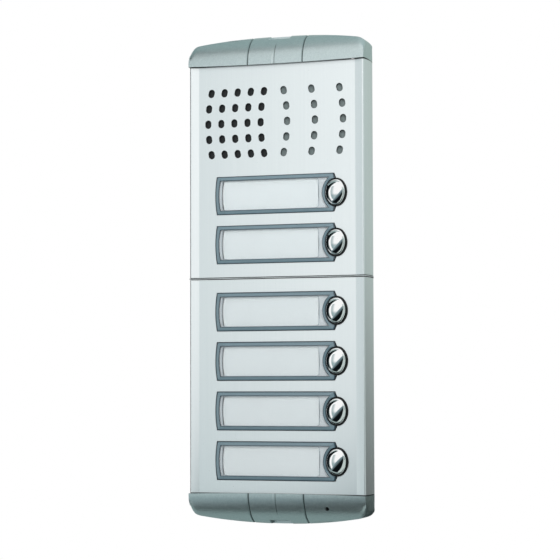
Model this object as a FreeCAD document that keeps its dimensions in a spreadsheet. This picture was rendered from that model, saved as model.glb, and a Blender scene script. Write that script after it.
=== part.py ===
import FreeCAD, Part
import math
import os
import re

import Sketcher

# Door intercom panel: two aluminium front plates on a wall frame, closed by two end caps.
# X runs to the right, Y into the wall and Z up. The wall is the plane Y = 0, and the origin
# is on it, behind the joint between the two plates. "Front" sizes are distances from the wall
# towards the visitor, so a piece at front 20 lies at Y = -20.

doc = FreeCAD.newDocument("DoorIntercomPanel")
sheet = doc.addObject("Spreadsheet::Sheet", "Sizes")
SIZES = {
    # Front plates: an extruded channel with convex sides and sliding lips at its back edges.
    "plate_width": 99,
    "plate_length": 115.6,
    "plate_wall": 1.6,
    "corner_front": 22,
    "face_recess": 1.1,
    "band_width": 5,
    "side_lean": 1.3,
    "side_radius": 36,
    "wall_gap": 0.3,
    "lip_reach": 1.7,
    "lip_thickness": 1.3,
    "slide_gap": 0.3,
    "strip_thickness": 0.8,
    "strip_gap": 0.2,
    "strip_depth": 3.2,
    "strip_proud": 0.15,
    # Wall frame: floor, rails for the plates and caps, rims, bosses and cable entry.
    "floor_thickness": 2.2,
    "rail_thickness": 1.5,
    "rim_wall": 1.8,
    "rim_front": 7,
    "frame_reach": 9.8,
    "end_wall": 1.8,
    "mount_across": 76,
    "mount_inset": 4.5,
    "mount_radius": 2.25,
    "mount_pad_radius": 5.2,
    "mount_pad_height": 0.9,
    "entry_width": 28,
    "entry_height": 20,
    "entry_radius": 3,
    "gasket_width": 3,
    "gasket_depth": 1,
    "gasket_inset": 3,
    "gasket_end_inset": 12,
    # Boards and the bosses that carry them.
    "board_back": 6.4,
    "board_thickness": 1.6,
    "board_half_width": 41.3,
    "board_joint": 2,
    "board_end_inset": 3,
    "board_tab_width": 26,
    "board_tab_reach": 10,
    "boss_radius": 3.4,
    "pilot_radius": 1.5,
    "boss_across": 76,
    "boss_inset": 5.3,
    # Key carriers: moulded plates behind the fronts, with screw posts and a skirt.
    "carrier_half_width": 43.4,
    "carrier_thickness": 2,
    "carrier_front": 18.3,
    "carrier_skirt": 1.4,
    "skirt_front": 10,
    "post_radius": 3.3,
    "screw_radius": 1.4,
    "screw_gap": 0.15,
    "screw_head_radius": 2.7,
    "screw_head_height": 1.7,
    "screw_sink": 1,
    "screw_tip": 2.9,
    # Keys: name window, card, bezel ring and push button, on one pitch in each module.
    "key_pitch": 26.78,
    "key_x": 33.8,
    "ring_half_width": 6,
    "ring_half_height": 7.55,
    "ring_end_radius": 5.1,
    "ring_wall": 0.7,
    "ring_front": 22,
    "button_gap": 0.22,
    "button_edge": 21.7,
    "dome_height": 3.1,
    "button_flange": 1.1,
    "flange_thickness": 1,
    "flange_gap": 0.3,
    "button_travel": 1.6,
    "plunger_radius": 2.6,
    "plunger_web": 1.2,
    "window_left": 34.05,
    "window_right": 32.6,
    "window_half_height": 10.3,
    "window_bulge": 0.9,
    "window_front": 21.7,
    "window_bevel": 2.2,
    "bevel_height": 0.6,
    "window_skin": 1.2,
    "window_flange": 1.1,
    "window_gap": 0.15,
    "card_left": 29.9,
    "card_right": 23.6,
    "card_half_height": 8,
    "card_thickness": 0.35,
    # Key mats: silicone sheets with a collapsing dome under each push button.
    "mat_thickness": 1,
    "mat_half_width": 7.3,
    "mat_overhang": 7.6,
    "dome_base_radius": 5.4,
    "dome_top_radius": 3.1,
    "dome_wall": 0.9,
    "dome_gap": 0.3,
    # Speaker, its grille and the parts behind the grille.
    "grille_drop": 31.7,
    "grille_row_pitch": 8.42,
    "left_column_first": 39.15,
    "left_column_pitch": 7.58,
    "right_column_first": 6.3,
    "right_column_pitch": 15.75,
    "arc_offset": 1.95,
    "slot_half_width": 1.75,
    "slot_half_height": 2.3,
    "grille_margin": 4,
    "mesh_thickness": 0.5,
    "speaker_radius": 17.7,
    "speaker_rim": 2,
    "speaker_flange": 1,
    "speaker_depth": 7.2,
    "speaker_wall": 0.7,
    "magnet_radius": 9,
    "magnet_height": 3.2,
    "coil_radius": 5,
    "cone_thickness": 0.4,
    # Electronics on the boards.
    "terminal_length": 24,
    "terminal_width": 8,
    "terminal_height": 7.8,
    "terminal_pitch": 3.8,
    "terminal_screw_radius": 1.3,
    "trimmer_spread": 12,
    "trimmer_clearance": 0.5,
    "trimmer_side": 6,
    "trimmer_height": 3.6,
    "rotor_radius": 2,
    "rotor_gap": 0.08,
    "rotor_rise": 0.9,
    "led_width": 3.2,
    "led_height": 1.9,
    "led_spread": 38,
    "chip_side": 9,
    "chip_height": 1.9,
    "capacitor_radius": 3.15,
    "capacitor_height": 6.8,
    "link_clearance": 6,
    "link_width": 11,
    "link_length": 22,
    "link_thickness": 1.6,
    # End caps and what they cover.
    "cap_proud": 1.3,
    "cap_side": 0.4,
    "cap_height": 16.3,
    "cap_end_front": 11.1,
    "cap_bow": 4.4,
    "cap_taper": 3.1,
    "cap_lip_bow": 0.7,
    "cap_wall": 1.6,
    "cap_joint": 0.25,
    "groove_spread": 31.2,
    "groove_width": 0.9,
    "groove_depth": 0.5,
    "release_width": 12.2,
    "release_height": 2.2,
    "catch_width": 10.6,
    "catch_thickness": 1.4,
    "microphone_x": 28.2,
    "microphone_drop": 7.3,
    "sound_hole_radius": 1.05,
    "microphone_radius": 3,
    "microphone_length": 3.4,
    "boot_wall": 1,
    "nozzle_radius": 1.9,
    "nozzle_gap": 0.4,
    "pillar_wall": 1,
    # How far cuts run past the faces they open, and the caps' forming blocks past their ends.
    "cut_overrun": 1,
    "forming_overrun": 16,
}
for row, (name, value) in enumerate(SIZES.items(), start=1):
    sheet.set(f"A{row}", name)
    sheet.set(f"B{row}", str(value))
    sheet.setAlias(f"B{row}", name)
doc.recompute()

# What follows from the sizes, as expressions that the pieces share.
HALF_STRIP = "(strip_thickness/2 + strip_gap)"
PLATE_END = f"({HALF_STRIP} + plate_length)"
FRAME_END = f"({PLATE_END} + frame_reach)"
GRILLE_CENTRE = f"({PLATE_END} - grille_drop)"
HALF_FRONT = "(plate_width/2)"
HALF_FOOT = "(plate_width/2 - side_lean)"
LIP_FRONT = "(wall_gap + lip_thickness)"
LIP_INNER = f"({HALF_FOOT} - plate_wall - lip_reach)"
FACE_FRONT = "(corner_front - face_recess)"
FACE_BACK = f"({FACE_FRONT} - plate_wall)"
FRAME_HALF = f"({LIP_INNER} - slide_gap)"
RAIL_HALF = f"({HALF_FOOT} - plate_wall - slide_gap)"
RAIL_BACK = f"({LIP_FRONT} + slide_gap)"
RAIL_FRONT = f"({RAIL_BACK} + rail_thickness)"
BOARD_FRONT = "(board_back + board_thickness)"
CARRIER_BACK = "(carrier_front - carrier_thickness)"
MODULE_CENTRE = f"({HALF_STRIP} + plate_length/2)"
FLANGE_FRONT = f"({CARRIER_BACK} - flange_gap)"
DOME_TOP = f"({FLANGE_FRONT} - flange_thickness - button_travel - dome_gap)"
CAP_FRONT = "(corner_front + cap_proud)"
CAP_TOP = f"({PLATE_END} + cap_height)"
SPEAKER_X = "(left_column_first - 2*left_column_pitch)"


def bound(text):
    """The expression with the sheet named in front of each size."""
    return re.sub(r"[a-z_]{2,}", lambda word: ("Sizes." if word[0] in SIZES else "") + word[0], text)


def number(text):
    """The value of an expression of the sheet's sizes."""
    result = sheet.evalExpression(text)
    return float(getattr(result, "Value", result))


def bind(thing, prop, text):
    thing.setExpression(prop, bound(str(text)))


def place(thing, x="0", y="0", z="0"):
    """Ties a piece's place to the sheet."""
    for axis, text in zip("xyz", (x, y, z)):
        bind(thing, f"Placement.Base.{axis}", text)
    return thing


def new_body(label):
    piece = doc.addObject("PartDesign::Body", label.title().replace("_", ""))
    piece.Label = label
    return piece


def arc_between(start, end, radius):
    """An arc that turns left from start to end for a positive radius, and right for a negative one."""
    if radius < 0:
        start, end = end, start
    half_chord = (end - start) * 0.5
    rise = math.sqrt(max(radius**2 - half_chord.Length**2, 0.0))
    left = FreeCAD.Vector(-half_chord.y, half_chord.x, 0).normalize()
    centre = start + half_chord + left * rise
    angles = [math.atan2(point.y - centre.y, point.x - centre.x) for point in (start, end)]
    circle = Part.Circle(centre, FreeCAD.Vector(0, 0, 1), abs(radius))
    return Part.ArcOfCircle(circle, *angles)


def tie(sketch, kind, where, text):
    """A driving dimension of a sketch, tied to the sheet."""
    at = sketch.addConstraint(Sketcher.Constraint(kind, *where, number(text)))
    sketch.renameConstraint(at, f"{kind}{at}")
    bind(sketch, f"Constraints.{kind}{at}", text)


def draw_loop(sketch, points):
    """A closed loop of (x, y) or (x, y, radius), where radius makes the side that arrives there an arc."""
    corners = [FreeCAD.Vector(number(point[0]), number(point[1]), 0) for point in points]
    ends = []
    for index, point in enumerate(points):
        start, end = corners[index - 1], corners[index]
        radius = number(point[2]) if len(point) > 2 else 0
        side = arc_between(start, end, radius) if radius else Part.LineSegment(start, end)
        side_number = sketch.addGeometry(side)
        ends.append((side_number, 1, 2) if radius >= 0 else (side_number, 2, 1))
    for index, point in enumerate(points):
        side, first, last = ends[index]
        following, start_point, _ = ends[(index + 1) % len(ends)]
        sketch.addConstraint(Sketcher.Constraint("Coincident", side, last, following, start_point))
        tie(sketch, "DistanceX", (-1, 1, side, last), point[0])
        tie(sketch, "DistanceY", (-1, 1, side, last), point[1])
        if len(point) > 2:
            size = point[2][1:] if point[2].startswith("-") else point[2]
            tie(sketch, "Radius", (side,), size)


def draw_circle(sketch, x, y, radius):
    centre = FreeCAD.Vector(number(x), number(y), 0)
    side = sketch.addGeometry(Part.Circle(centre, FreeCAD.Vector(0, 0, 1), number(radius)))
    tie(sketch, "DistanceX", (-1, 1, side, 3), x)
    tie(sketch, "DistanceY", (-1, 1, side, 3), y)
    tie(sketch, "Radius", (side,), radius)


def new_sketch(piece, role, offset="0"):
    """A sketch on one of the body's origin planes, moved off it along its normal."""
    sketch = piece.newObject("Sketcher::SketchObject", f"{piece.Name}Sketch")
    plane = [item for item in piece.Origin.OriginFeatures if item.Role == role][0]
    sketch.AttachmentSupport = [(plane, "")]
    sketch.MapMode = "FlatFace"
    bind(sketch, "AttachmentOffset.Base.z", offset)
    return sketch


def pad(piece, sketch, length, midplane=False):
    feature = piece.newObject("PartDesign::Pad", f"{piece.Name}Pad")
    feature.Profile = sketch
    feature.Midplane = midplane
    bind(feature, "Length", length)
    return feature


def add_front(piece, points, back, front):
    """Adds a front-view outline from one distance in front of the wall to another."""
    sketch = new_sketch(piece, "XZ_Plane", back)
    draw_loop(sketch, points)
    return pad(piece, sketch, f"({front}) - ({back})")


def add_front_circles(piece, circles, back, front):
    sketch = new_sketch(piece, "XZ_Plane", back)
    for x, y, radius in circles:
        draw_circle(sketch, x, y, radius)
    return pad(piece, sketch, f"({front}) - ({back})")


def cut_front(piece, loops, back, front, circles=()):
    """Cuts front-view outlines out of a body between two distances in front of the wall."""
    sketch = new_sketch(piece, "XZ_Plane", front)
    for points in loops:
        draw_loop(sketch, points)
    for x, y, radius in circles:
        draw_circle(sketch, x, y, radius)
    feature = piece.newObject("PartDesign::Pocket", f"{piece.Name}Pocket")
    feature.Profile = sketch
    bind(feature, "Length", f"({front}) - ({back})")
    return feature


def rectangle(x1, x2, y1, y2):
    return [(x1, y1), (x2, y1), (x2, y2), (x1, y2)]


def rounded(x1, x2, y1, y2, radius):
    """A rectangle with rounded corners."""
    left, right = f"({x1})+({radius})", f"({x2})-({radius})"
    low, high = f"({y1})+({radius})", f"({y2})-({radius})"
    return [
        (left, y1), (right, y1), (x2, low, radius), (x2, high),
        (right, y2, radius), (left, y2), (x1, high, radius), (x1, low), (left, y1, radius),
    ][1:]


def sides(half):
    """The full outline from its right half, which runs anticlockwise from the front to the back."""
    mirrored = []
    for index in range(len(half) - 1, -1, -1):
        arrival = half[index + 1][2:] if index + 1 < len(half) else ()
        mirrored.append((f"-({half[index][0]})", half[index][1], *arrival))
    return half + mirrored


def oval(x, z, grow):
    """A four-centre oval round a key: two end arcs and two side arcs on fixed centres, grown outwards."""
    end = f"(ring_end_radius + ({grow}))"
    reach = "(ring_half_height - ring_end_radius)"
    wide = f"((ring_half_width^2 + {reach}^2 - ring_end_radius^2)/(2*(ring_half_width - ring_end_radius)))"
    side = f"({wide} + ({grow}))"
    corner_x = f"({end}*({wide} - ring_half_width)/({wide} - ring_end_radius))"
    corner_z = f"({reach}*{side}/({wide} - ring_end_radius))"
    return {
        "end": end,
        "side": side,
        "left": f"(({x}) - {corner_x})",
        "right": f"(({x}) + {corner_x})",
        "low": f"(({z}) - {corner_z})",
        "high": f"(({z}) + {corner_z})",
    }


def oval_loop(x, z, grow):
    o = oval(x, z, grow)
    return [
        (o["right"], o["low"], o["end"]), (o["right"], o["high"], o["side"]),
        (o["left"], o["high"], o["end"]), (o["left"], o["low"], o["side"]),
    ]


def sagitta_radius(half_chord, rise):
    return f"((({half_chord})^2 + ({rise})^2)/(2*({rise})))"


def primitive(kind, **properties):
    thing = doc.addObject(f"Part::{kind}", kind)
    for prop, text in properties.items():
        bind(thing, prop, text)
    return thing


def combine(kind, label, *things):
    """A boolean of several objects: MultiFuse or MultiCommon, or Cut of the first by the second."""
    result = doc.addObject(f"Part::{kind}", label.title().replace("_", ""))
    result.Label = label
    if kind == "Cut":
        result.Base, result.Tool = things
    else:
        result.Shapes = list(things)
    return result


def facing(thing, x="0", front="0", z="0"):
    """Turns a primitive's Z axis towards the visitor, with its base at a distance in front of the wall."""
    thing.Placement = FreeCAD.Placement(FreeCAD.Vector(), FreeCAD.Rotation(FreeCAD.Vector(1, 0, 0), 90))
    return place(thing, x, f"-({front})", z)


def box(x1, x2, back, front, z1, z2):
    """A block between two places across, two distances in front of the wall and two heights."""
    thing = primitive("Box", Length=f"({x2})-({x1})", Width=f"({front})-({back})", Height=f"({z2})-({z1})")
    return place(thing, x1, f"-({front})", z1)


# The keys: the upper module carries two in its lower half, and the lower module carries four.
UPPER_KEYS = [f"({MODULE_CENTRE} - {step}*key_pitch/2)" for step in (1, 3)]
LOWER_KEYS = [f"(-{MODULE_CENTRE} + {step}*key_pitch/2)" for step in (3, 1, -1, -3)]
KEYS = UPPER_KEYS + LOWER_KEYS
MODULES = {"upper": 1, "lower": -1}


def module_z(sign, near, far):
    """The low and high ends of a piece of a module, from its distances to the joint between modules."""
    return (near, far) if sign > 0 else (f"-({far})", f"-({near})")


# Front plates -------------------------------------------------------------------------------


def channel_profile():
    """The extrusion's section: a shallow tray between raised edges, convex sides, and lips at the back."""
    slope = "(face_recess*plate_wall/band_width)"
    inner_front = f"-(corner_front - plate_wall - {slope})"
    return sides([
        (f"{HALF_FRONT} - band_width", f"-{FACE_FRONT}"),
        (HALF_FRONT, "-corner_front"),
        (HALF_FOOT, "-wall_gap", "side_radius"),
        (LIP_INNER, "-wall_gap"),
        (LIP_INNER, f"-{LIP_FRONT}"),
        (f"{HALF_FOOT} - plate_wall", f"-{LIP_FRONT}"),
        (f"{HALF_FRONT} - plate_wall", inner_front, "-(side_radius - plate_wall)"),
        (f"{HALF_FRONT} - band_width", f"-{FACE_BACK}"),
    ])


def window_opening(z):
    """The plate's opening for a name window, without the part that the bezel ring's opening takes."""
    high = "(window_half_height + window_gap)"
    return [
        ("-(window_left + window_gap)", f"({z}) - {high}", sagitta_radius(high, "window_bulge")),
        ("window_right + window_gap", f"({z}) - {high}"),
        ("key_x + window_gap", f"({z}) - ring_half_height"),
        ("key_x + window_gap", f"({z}) + ring_half_height"),
        ("window_right + window_gap", f"({z}) + {high}"),
        ("-(window_left + window_gap)", f"({z}) + {high}"),
    ]


def front_plate(label, sign, keys):
    """A length of the channel, with an opening for each name window and each bezel ring."""
    plate = new_body(label)
    low, _ = module_z(sign, HALF_STRIP, PLATE_END)
    sketch = new_sketch(plate, "XY_Plane", low)
    draw_loop(sketch, channel_profile())
    pad(plate, sketch, "plate_length")
    for z in keys:
        cut_front(plate, [window_opening(z)], "carrier_front", "corner_front")
        cut_front(plate, [oval_loop("key_x", z, "window_gap")], "carrier_front", "corner_front")
    return plate


def grille_slots():
    """The speaker holes: five columns on arcs that bulge left, and three on arcs that bulge right."""
    radius, half_height = number("slot_half_width"), number("slot_half_height")
    straight = half_height - radius
    back, depth = number(f"{FACE_BACK} - cut_overrun"), number("plate_wall + 2*cut_overrun")
    left = [number(f"-left_column_first + {i}*left_column_pitch") for i in range(5)]
    right = [number(f"right_column_first + {i}*right_column_pitch") for i in range(3)]
    slots = []
    for column, bulge in [(x, 1) for x in left] + [(x, -1) for x in right]:
        for row in range(-2, 3):
            z = number(GRILLE_CENTRE) + row * number("grille_row_pitch")
            x = column + bulge * number("arc_offset") * (row / 2) ** 2
            tilt = math.atan2(bulge * number("arc_offset") * row / 2, number("grille_row_pitch"))
            ends = [
                FreeCAD.Vector(-radius, 0, -straight), FreeCAD.Vector(0, 0, -straight - radius),
                FreeCAD.Vector(radius, 0, -straight), FreeCAD.Vector(radius, 0, straight),
                FreeCAD.Vector(0, 0, straight + radius), FreeCAD.Vector(-radius, 0, straight),
            ]
            wire = Part.Wire([
                Part.Arc(ends[0], ends[1], ends[2]).toShape(), Part.makeLine(ends[2], ends[3]),
                Part.Arc(ends[3], ends[4], ends[5]).toShape(), Part.makeLine(ends[5], ends[0]),
            ])
            slot = Part.Face(wire).extrude(FreeCAD.Vector(0, -depth, 0))
            slot.Placement = FreeCAD.Placement(
                FreeCAD.Vector(x, -back, z), FreeCAD.Rotation(FreeCAD.Vector(0, 1, 0), math.degrees(tilt))
            )
            slots.append(slot)
    return Part.makeCompound(slots)


blank_plate = front_plate("upper_plate_blank", 1, UPPER_KEYS)
slot_tools = doc.addObject("Part::Feature", "GrilleSlots")
slot_tools.Shape = grille_slots()
upper_front_plate = combine("Cut", "upper_front_plate", blank_plate, slot_tools)
lower_front_plate = front_plate("lower_front_plate", -1, LOWER_KEYS)


def separator_profile():
    """The strip between the plates follows their outside, a little proud of it."""
    return sides([
        (f"{HALF_FRONT} - band_width", f"-({FACE_FRONT} + strip_proud)"),
        (f"{HALF_FRONT} + strip_proud", "-(corner_front + strip_proud)"),
        (f"{HALF_FOOT} + strip_proud", "-wall_gap", "side_radius + strip_proud"),
        (f"{HALF_FOOT} - plate_wall", "-wall_gap"),
        (f"{HALF_FRONT} - strip_depth", "-(corner_front - strip_depth)", "-(side_radius - strip_depth)"),
        (f"{HALF_FRONT} - band_width - strip_depth", f"-({FACE_FRONT} - strip_depth)"),
    ])


plate_separator = new_body("plate_separator")
separator_sketch = new_sketch(plate_separator, "XY_Plane", "-strip_thickness/2")
draw_loop(separator_sketch, separator_profile())
pad(plate_separator, separator_sketch, "strip_thickness")

# Wall frame ---------------------------------------------------------------------------------

BOSSES = [
    (f"{side}*boss_across/2", f"{sign}*({inset})")
    for sign in (1, -1)
    for inset in (f"{HALF_STRIP} + boss_inset", f"{PLATE_END} - boss_inset")
    for side in (-1, 1)
]
MOUNT_HOLES = [
    (f"{side}*mount_across/2", f"{end}*({FRAME_END} - mount_inset)") for side in (-1, 1) for end in (-1, 1)
]
MICROPHONE_Z = f"(-({PLATE_END} + microphone_drop))"
BOOT_RADIUS = "(microphone_radius + boot_wall)"
BOOT_BACK = "(rim_front + pillar_wall)"


def frame_profile():
    """The frame's cross-section: floor, rails that the lips slide under, and rims."""
    return sides([
        (FRAME_HALF, "0"),
        (FRAME_HALF, f"-{RAIL_BACK}"),
        (RAIL_HALF, f"-{RAIL_BACK}"),
        (RAIL_HALF, f"-{RAIL_FRONT}"),
        (FRAME_HALF, f"-{RAIL_FRONT}"),
        (FRAME_HALF, "-rim_front"),
        (f"{FRAME_HALF} - rim_wall", "-rim_front"),
        (f"{FRAME_HALF} - rim_wall", "-floor_thickness"),
    ][::-1])


mounting_frame = new_body("mounting_frame")
frame_sketch = new_sketch(mounting_frame, "XY_Plane")
draw_loop(frame_sketch, frame_profile())
pad(mounting_frame, frame_sketch, f"2*{FRAME_END}", midplane=True)
for end in (1, -1):
    low, high = module_z(end, f"{FRAME_END} - end_wall", FRAME_END)
    wall_half = f"({FRAME_HALF} - rim_wall)"
    end_outline = rectangle(f"-{wall_half}", wall_half, low, high)
    add_front(mounting_frame, end_outline, "floor_thickness", "rim_front")
    low, high = module_z(end, f"{FRAME_END} - catch_thickness", f"{CAP_TOP} - 2*cap_wall")
    catch = rectangle("-catch_width/2", "catch_width/2", low, high)
    add_front(mounting_frame, catch, "rim_front - catch_thickness", "rim_front + catch_thickness")
BOSS_CIRCLES = [(x, z, "boss_radius") for x, z in BOSSES]
add_front_circles(mounting_frame, BOSS_CIRCLES, "floor_thickness", "board_back")
add_front_circles(
    mounting_frame,
    [(x, z, "mount_pad_radius") for x, z in MOUNT_HOLES],
    "floor_thickness",
    "floor_thickness + mount_pad_height",
)
PILLAR = [("microphone_x", MICROPHONE_Z, f"{BOOT_RADIUS} + pillar_wall")]
add_front_circles(mounting_frame, PILLAR, "floor_thickness", f"{BOOT_BACK} + 2*pillar_wall")
cut_front(
    mounting_frame, [], BOOT_BACK, f"{BOOT_BACK} + 3*pillar_wall",
    [("microphone_x", MICROPHONE_Z, f"{BOOT_RADIUS} + rotor_gap")],
)
cut_front(
    mounting_frame, [], "floor_thickness/2", "board_back + cut_overrun",
    [(x, z, "pilot_radius") for x, z in BOSSES],
)
cut_front(
    mounting_frame, [], "-cut_overrun", "rim_front + cut_overrun",
    [(x, z, "mount_radius") for x, z in MOUNT_HOLES],
)
entry = rounded("-entry_width/2", "entry_width/2", "-entry_height/2", "entry_height/2", "entry_radius")
cut_front(mounting_frame, [entry], "-cut_overrun", "floor_thickness + cut_overrun")


def gasket_loop(inset):
    half_width = f"({FRAME_HALF} - gasket_inset - ({inset}))"
    half_length = f"({FRAME_END} - gasket_end_inset - ({inset}))"
    return rectangle(f"-{half_width}", half_width, f"-{half_length}", half_length)


cut_front(mounting_frame, [gasket_loop("0"), gasket_loop("gasket_width")], "0", "gasket_depth")

wall_gasket = new_body("wall_gasket")
gasket_sketch = new_sketch(wall_gasket, "XZ_Plane")
draw_loop(gasket_sketch, gasket_loop("rotor_gap"))
draw_loop(gasket_sketch, gasket_loop("gasket_width - rotor_gap"))
pad(wall_gasket, gasket_sketch, "gasket_depth")

# Key carriers -------------------------------------------------------------------------------


def light_opening(z):
    """The opening behind a name card that lets the lamps' light through."""
    margin = "(window_bevel + carrier_thickness)"
    return rectangle(
        f"-(card_left - {margin})", f"card_right - {margin}",
        f"({z}) - card_half_height + carrier_thickness", f"({z}) + card_half_height - carrier_thickness",
    )


def carrier(label, sign, keys):
    """A moulded plate with a skirt and screw posts, which guides the buttons and holds the windows."""
    piece = new_body(label)
    low, high = module_z(sign, f"{HALF_STRIP} + strip_gap", f"{PLATE_END} - strip_gap")
    outer = rectangle("-carrier_half_width", "carrier_half_width", low, high)
    inner = rectangle(
        "-(carrier_half_width - carrier_skirt)", "carrier_half_width - carrier_skirt",
        f"({low}) + carrier_skirt", f"({high}) - carrier_skirt",
    )
    add_front(piece, outer, "skirt_front", "carrier_front")
    cut_front(piece, [inner], "skirt_front - cut_overrun", CARRIER_BACK)
    posts = [spot for spot in BOSSES if number(spot[1]) * sign > 0]
    add_front_circles(piece, [(x, z, "post_radius") for x, z in posts], BOARD_FRONT, CARRIER_BACK)
    holes = [(x, z, "screw_radius + screw_gap") for x, z in posts]
    cut_front(piece, [], f"{BOARD_FRONT} - cut_overrun", "carrier_front + cut_overrun", holes)
    sinks = [(x, z, "screw_head_radius + screw_gap") for x, z in posts]
    cut_front(piece, [], "carrier_front - screw_sink", "carrier_front + cut_overrun", sinks)
    guides = [oval_loop("key_x", z, "-ring_wall") for z in keys]
    cut_front(piece, guides + [light_opening(z) for z in keys], CARRIER_BACK, "carrier_front")
    return piece


upper_carrier = carrier("upper_carrier", 1, UPPER_KEYS)
cut_front(
    upper_carrier, [], CARRIER_BACK, "carrier_front",
    [(f"-{SPEAKER_X}", GRILLE_CENTRE, "speaker_radius - speaker_rim")],
)
lower_carrier = carrier("lower_carrier", -1, LOWER_KEYS)

SCREW_FRONT = "(carrier_front - screw_sink)"
screw_shapes = []
for x, z in BOSSES:
    shank = primitive("Cylinder", Radius="screw_radius", Height=f"{SCREW_FRONT} - screw_tip")
    head = primitive("Cylinder", Radius="screw_head_radius", Height="screw_head_height")
    facing(shank, x, "screw_tip", z)
    facing(head, x, SCREW_FRONT, z)
    screw_shapes.append(combine("MultiFuse", "carrier_screw", shank, head))
carrier_screws = doc.addObject("Part::Compound", "CarrierScrews")
carrier_screws.Label = "carrier_screws"
carrier_screws.Links = screw_shapes

# Keys ---------------------------------------------------------------------------------------


def window_loop(grow):
    """A name window's outline about its key's centre, before the hollow for the bezel ring is cut."""
    high = f"(window_half_height + ({grow}))"
    top = "(ring_half_height + window_gap)"
    return [
        (f"-(window_left + ({grow}))", f"-{high}", sagitta_radius(high, "window_bulge")),
        (f"window_right + ({grow})", f"-{high}"),
        (f"key_x + ({grow})", f"-{top}"),
        (f"key_x + ({grow})", top),
        (f"window_right + ({grow})", high),
        (f"-(window_left + ({grow}))", high),
    ]


def window_pocket():
    """The hollow behind a window's front skin, inside its bevelled border."""
    high = "(window_half_height - window_bevel)"
    right = "(key_x - ring_half_width + window_gap)"
    middle = "(key_x - ring_half_width - window_gap - window_bevel)"
    return [
        ("-(window_left - window_bevel)", f"-{high}", sagitta_radius(high, "window_bulge")),
        (right, f"-{high}"),
        (right, high, f"-{sagitta_radius(high, f'({right} - {middle})')}"),
        ("-(window_left - window_bevel)", high),
    ]


def loft(piece, kind, *stations):
    """A ruled loft through front-view outlines, each at its own distance in front of the wall."""
    sketches = []
    for front, points in stations:
        sketch = new_sketch(piece, "XZ_Plane", front)
        draw_loop(sketch, points)
        sketches.append(sketch)
    feature = piece.newObject(f"PartDesign::{kind}", f"{piece.Name}Loft")
    feature.Profile, feature.Sections, feature.Ruled = sketches[0], sketches[1:], True
    return feature


BEVEL_FRONT = "(window_front - bevel_height)"


def name_window(index, z):
    """A clear moulding with a bevelled border in front and a flange behind the plate."""
    piece = new_body(f"name_window_{index}")
    add_front(piece, window_loop("window_flange"), "carrier_front", FACE_BACK)
    add_front(piece, window_loop("0"), FACE_BACK, BEVEL_FRONT)
    loft(
        piece, "AdditiveLoft", (BEVEL_FRONT, window_loop("0")),
        ("window_front", window_loop("-window_bevel")),
    )
    loft(
        piece, "SubtractiveLoft", ("window_front", oval_loop("key_x", "0", "window_gap + window_bevel")),
        (BEVEL_FRONT, oval_loop("key_x", "0", "window_gap")),
    )
    behind, ahead = "carrier_front - cut_overrun", "window_front + cut_overrun"
    cut_front(piece, [oval_loop("key_x", "0", "window_gap")], behind, ahead)
    cut_front(piece, [window_pocket()], behind, "window_front - window_skin")
    return place(piece, z=z)


def name_card(index, z):
    """The printed card's blank, against the window's front skin."""
    piece = new_body(f"name_card_{index}")
    outline = rectangle("-card_left", "card_right", "-card_half_height", "card_half_height")
    arc = sagitta_radius("card_half_height", "window_bulge")
    outline[0] = (*outline[0], arc)
    front = "(window_front - window_skin)"
    add_front(piece, outline, f"{front} - card_thickness", front)
    return place(piece, z=z)


def bezel_ring(index, z):
    """A black collar round the button, seated on the carrier."""
    piece = new_body(f"bezel_ring_{index}")
    add_front(piece, oval_loop("key_x", "0", "0"), "carrier_front", "ring_front")
    behind, ahead = "carrier_front - cut_overrun", "ring_front + cut_overrun"
    cut_front(piece, [oval_loop("key_x", "0", "-ring_wall")], behind, ahead)
    return place(piece, z=z)


def push_button(index, z):
    """A domed oval cap, with a flange behind the carrier and a cross-shaped plunger over its mat dome."""
    grow = "-(ring_wall + button_gap)"
    shank = new_body(f"button_shank_{index}")
    add_front(shank, oval_loop("key_x", "0", grow), FLANGE_FRONT, "button_edge + dome_height")
    crown = sagitta_radius(f"ring_half_height + {grow}", "dome_height")
    ball = primitive("Sphere", Radius=crown)
    place(ball, "key_x", f"-(button_edge + dome_height - {crown})")
    domed = combine("MultiCommon", f"button_cap_{index}", shank, ball)
    back = f"({FLANGE_FRONT} - flange_thickness)"
    half_width = f"(ring_half_width + {grow} + button_flange)"
    half_height = f"(ring_half_height + {grow} + button_flange)"
    flange = box(
        f"key_x - {half_width}", f"key_x + {half_width}", back, FLANGE_FRONT, f"-{half_height}", half_height
    )
    stem = [
        box(
            f"key_x - {across}", f"key_x + {across}", f"{back} - button_travel", back, f"-{along}", along
        )
        for across, along in (("plunger_radius", "plunger_web/2"), ("plunger_web/2", "plunger_radius"))
    ]
    return place(combine("MultiFuse", f"push_button_{index}", domed, flange, *stem), z=z)


windows = [name_window(index, z) for index, z in enumerate(KEYS, start=1)]
cards = [name_card(index, z) for index, z in enumerate(KEYS, start=1)]
rings = [bezel_ring(index, z) for index, z in enumerate(KEYS, start=1)]
buttons = [push_button(index, z) for index, z in enumerate(KEYS, start=1)]


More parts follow.
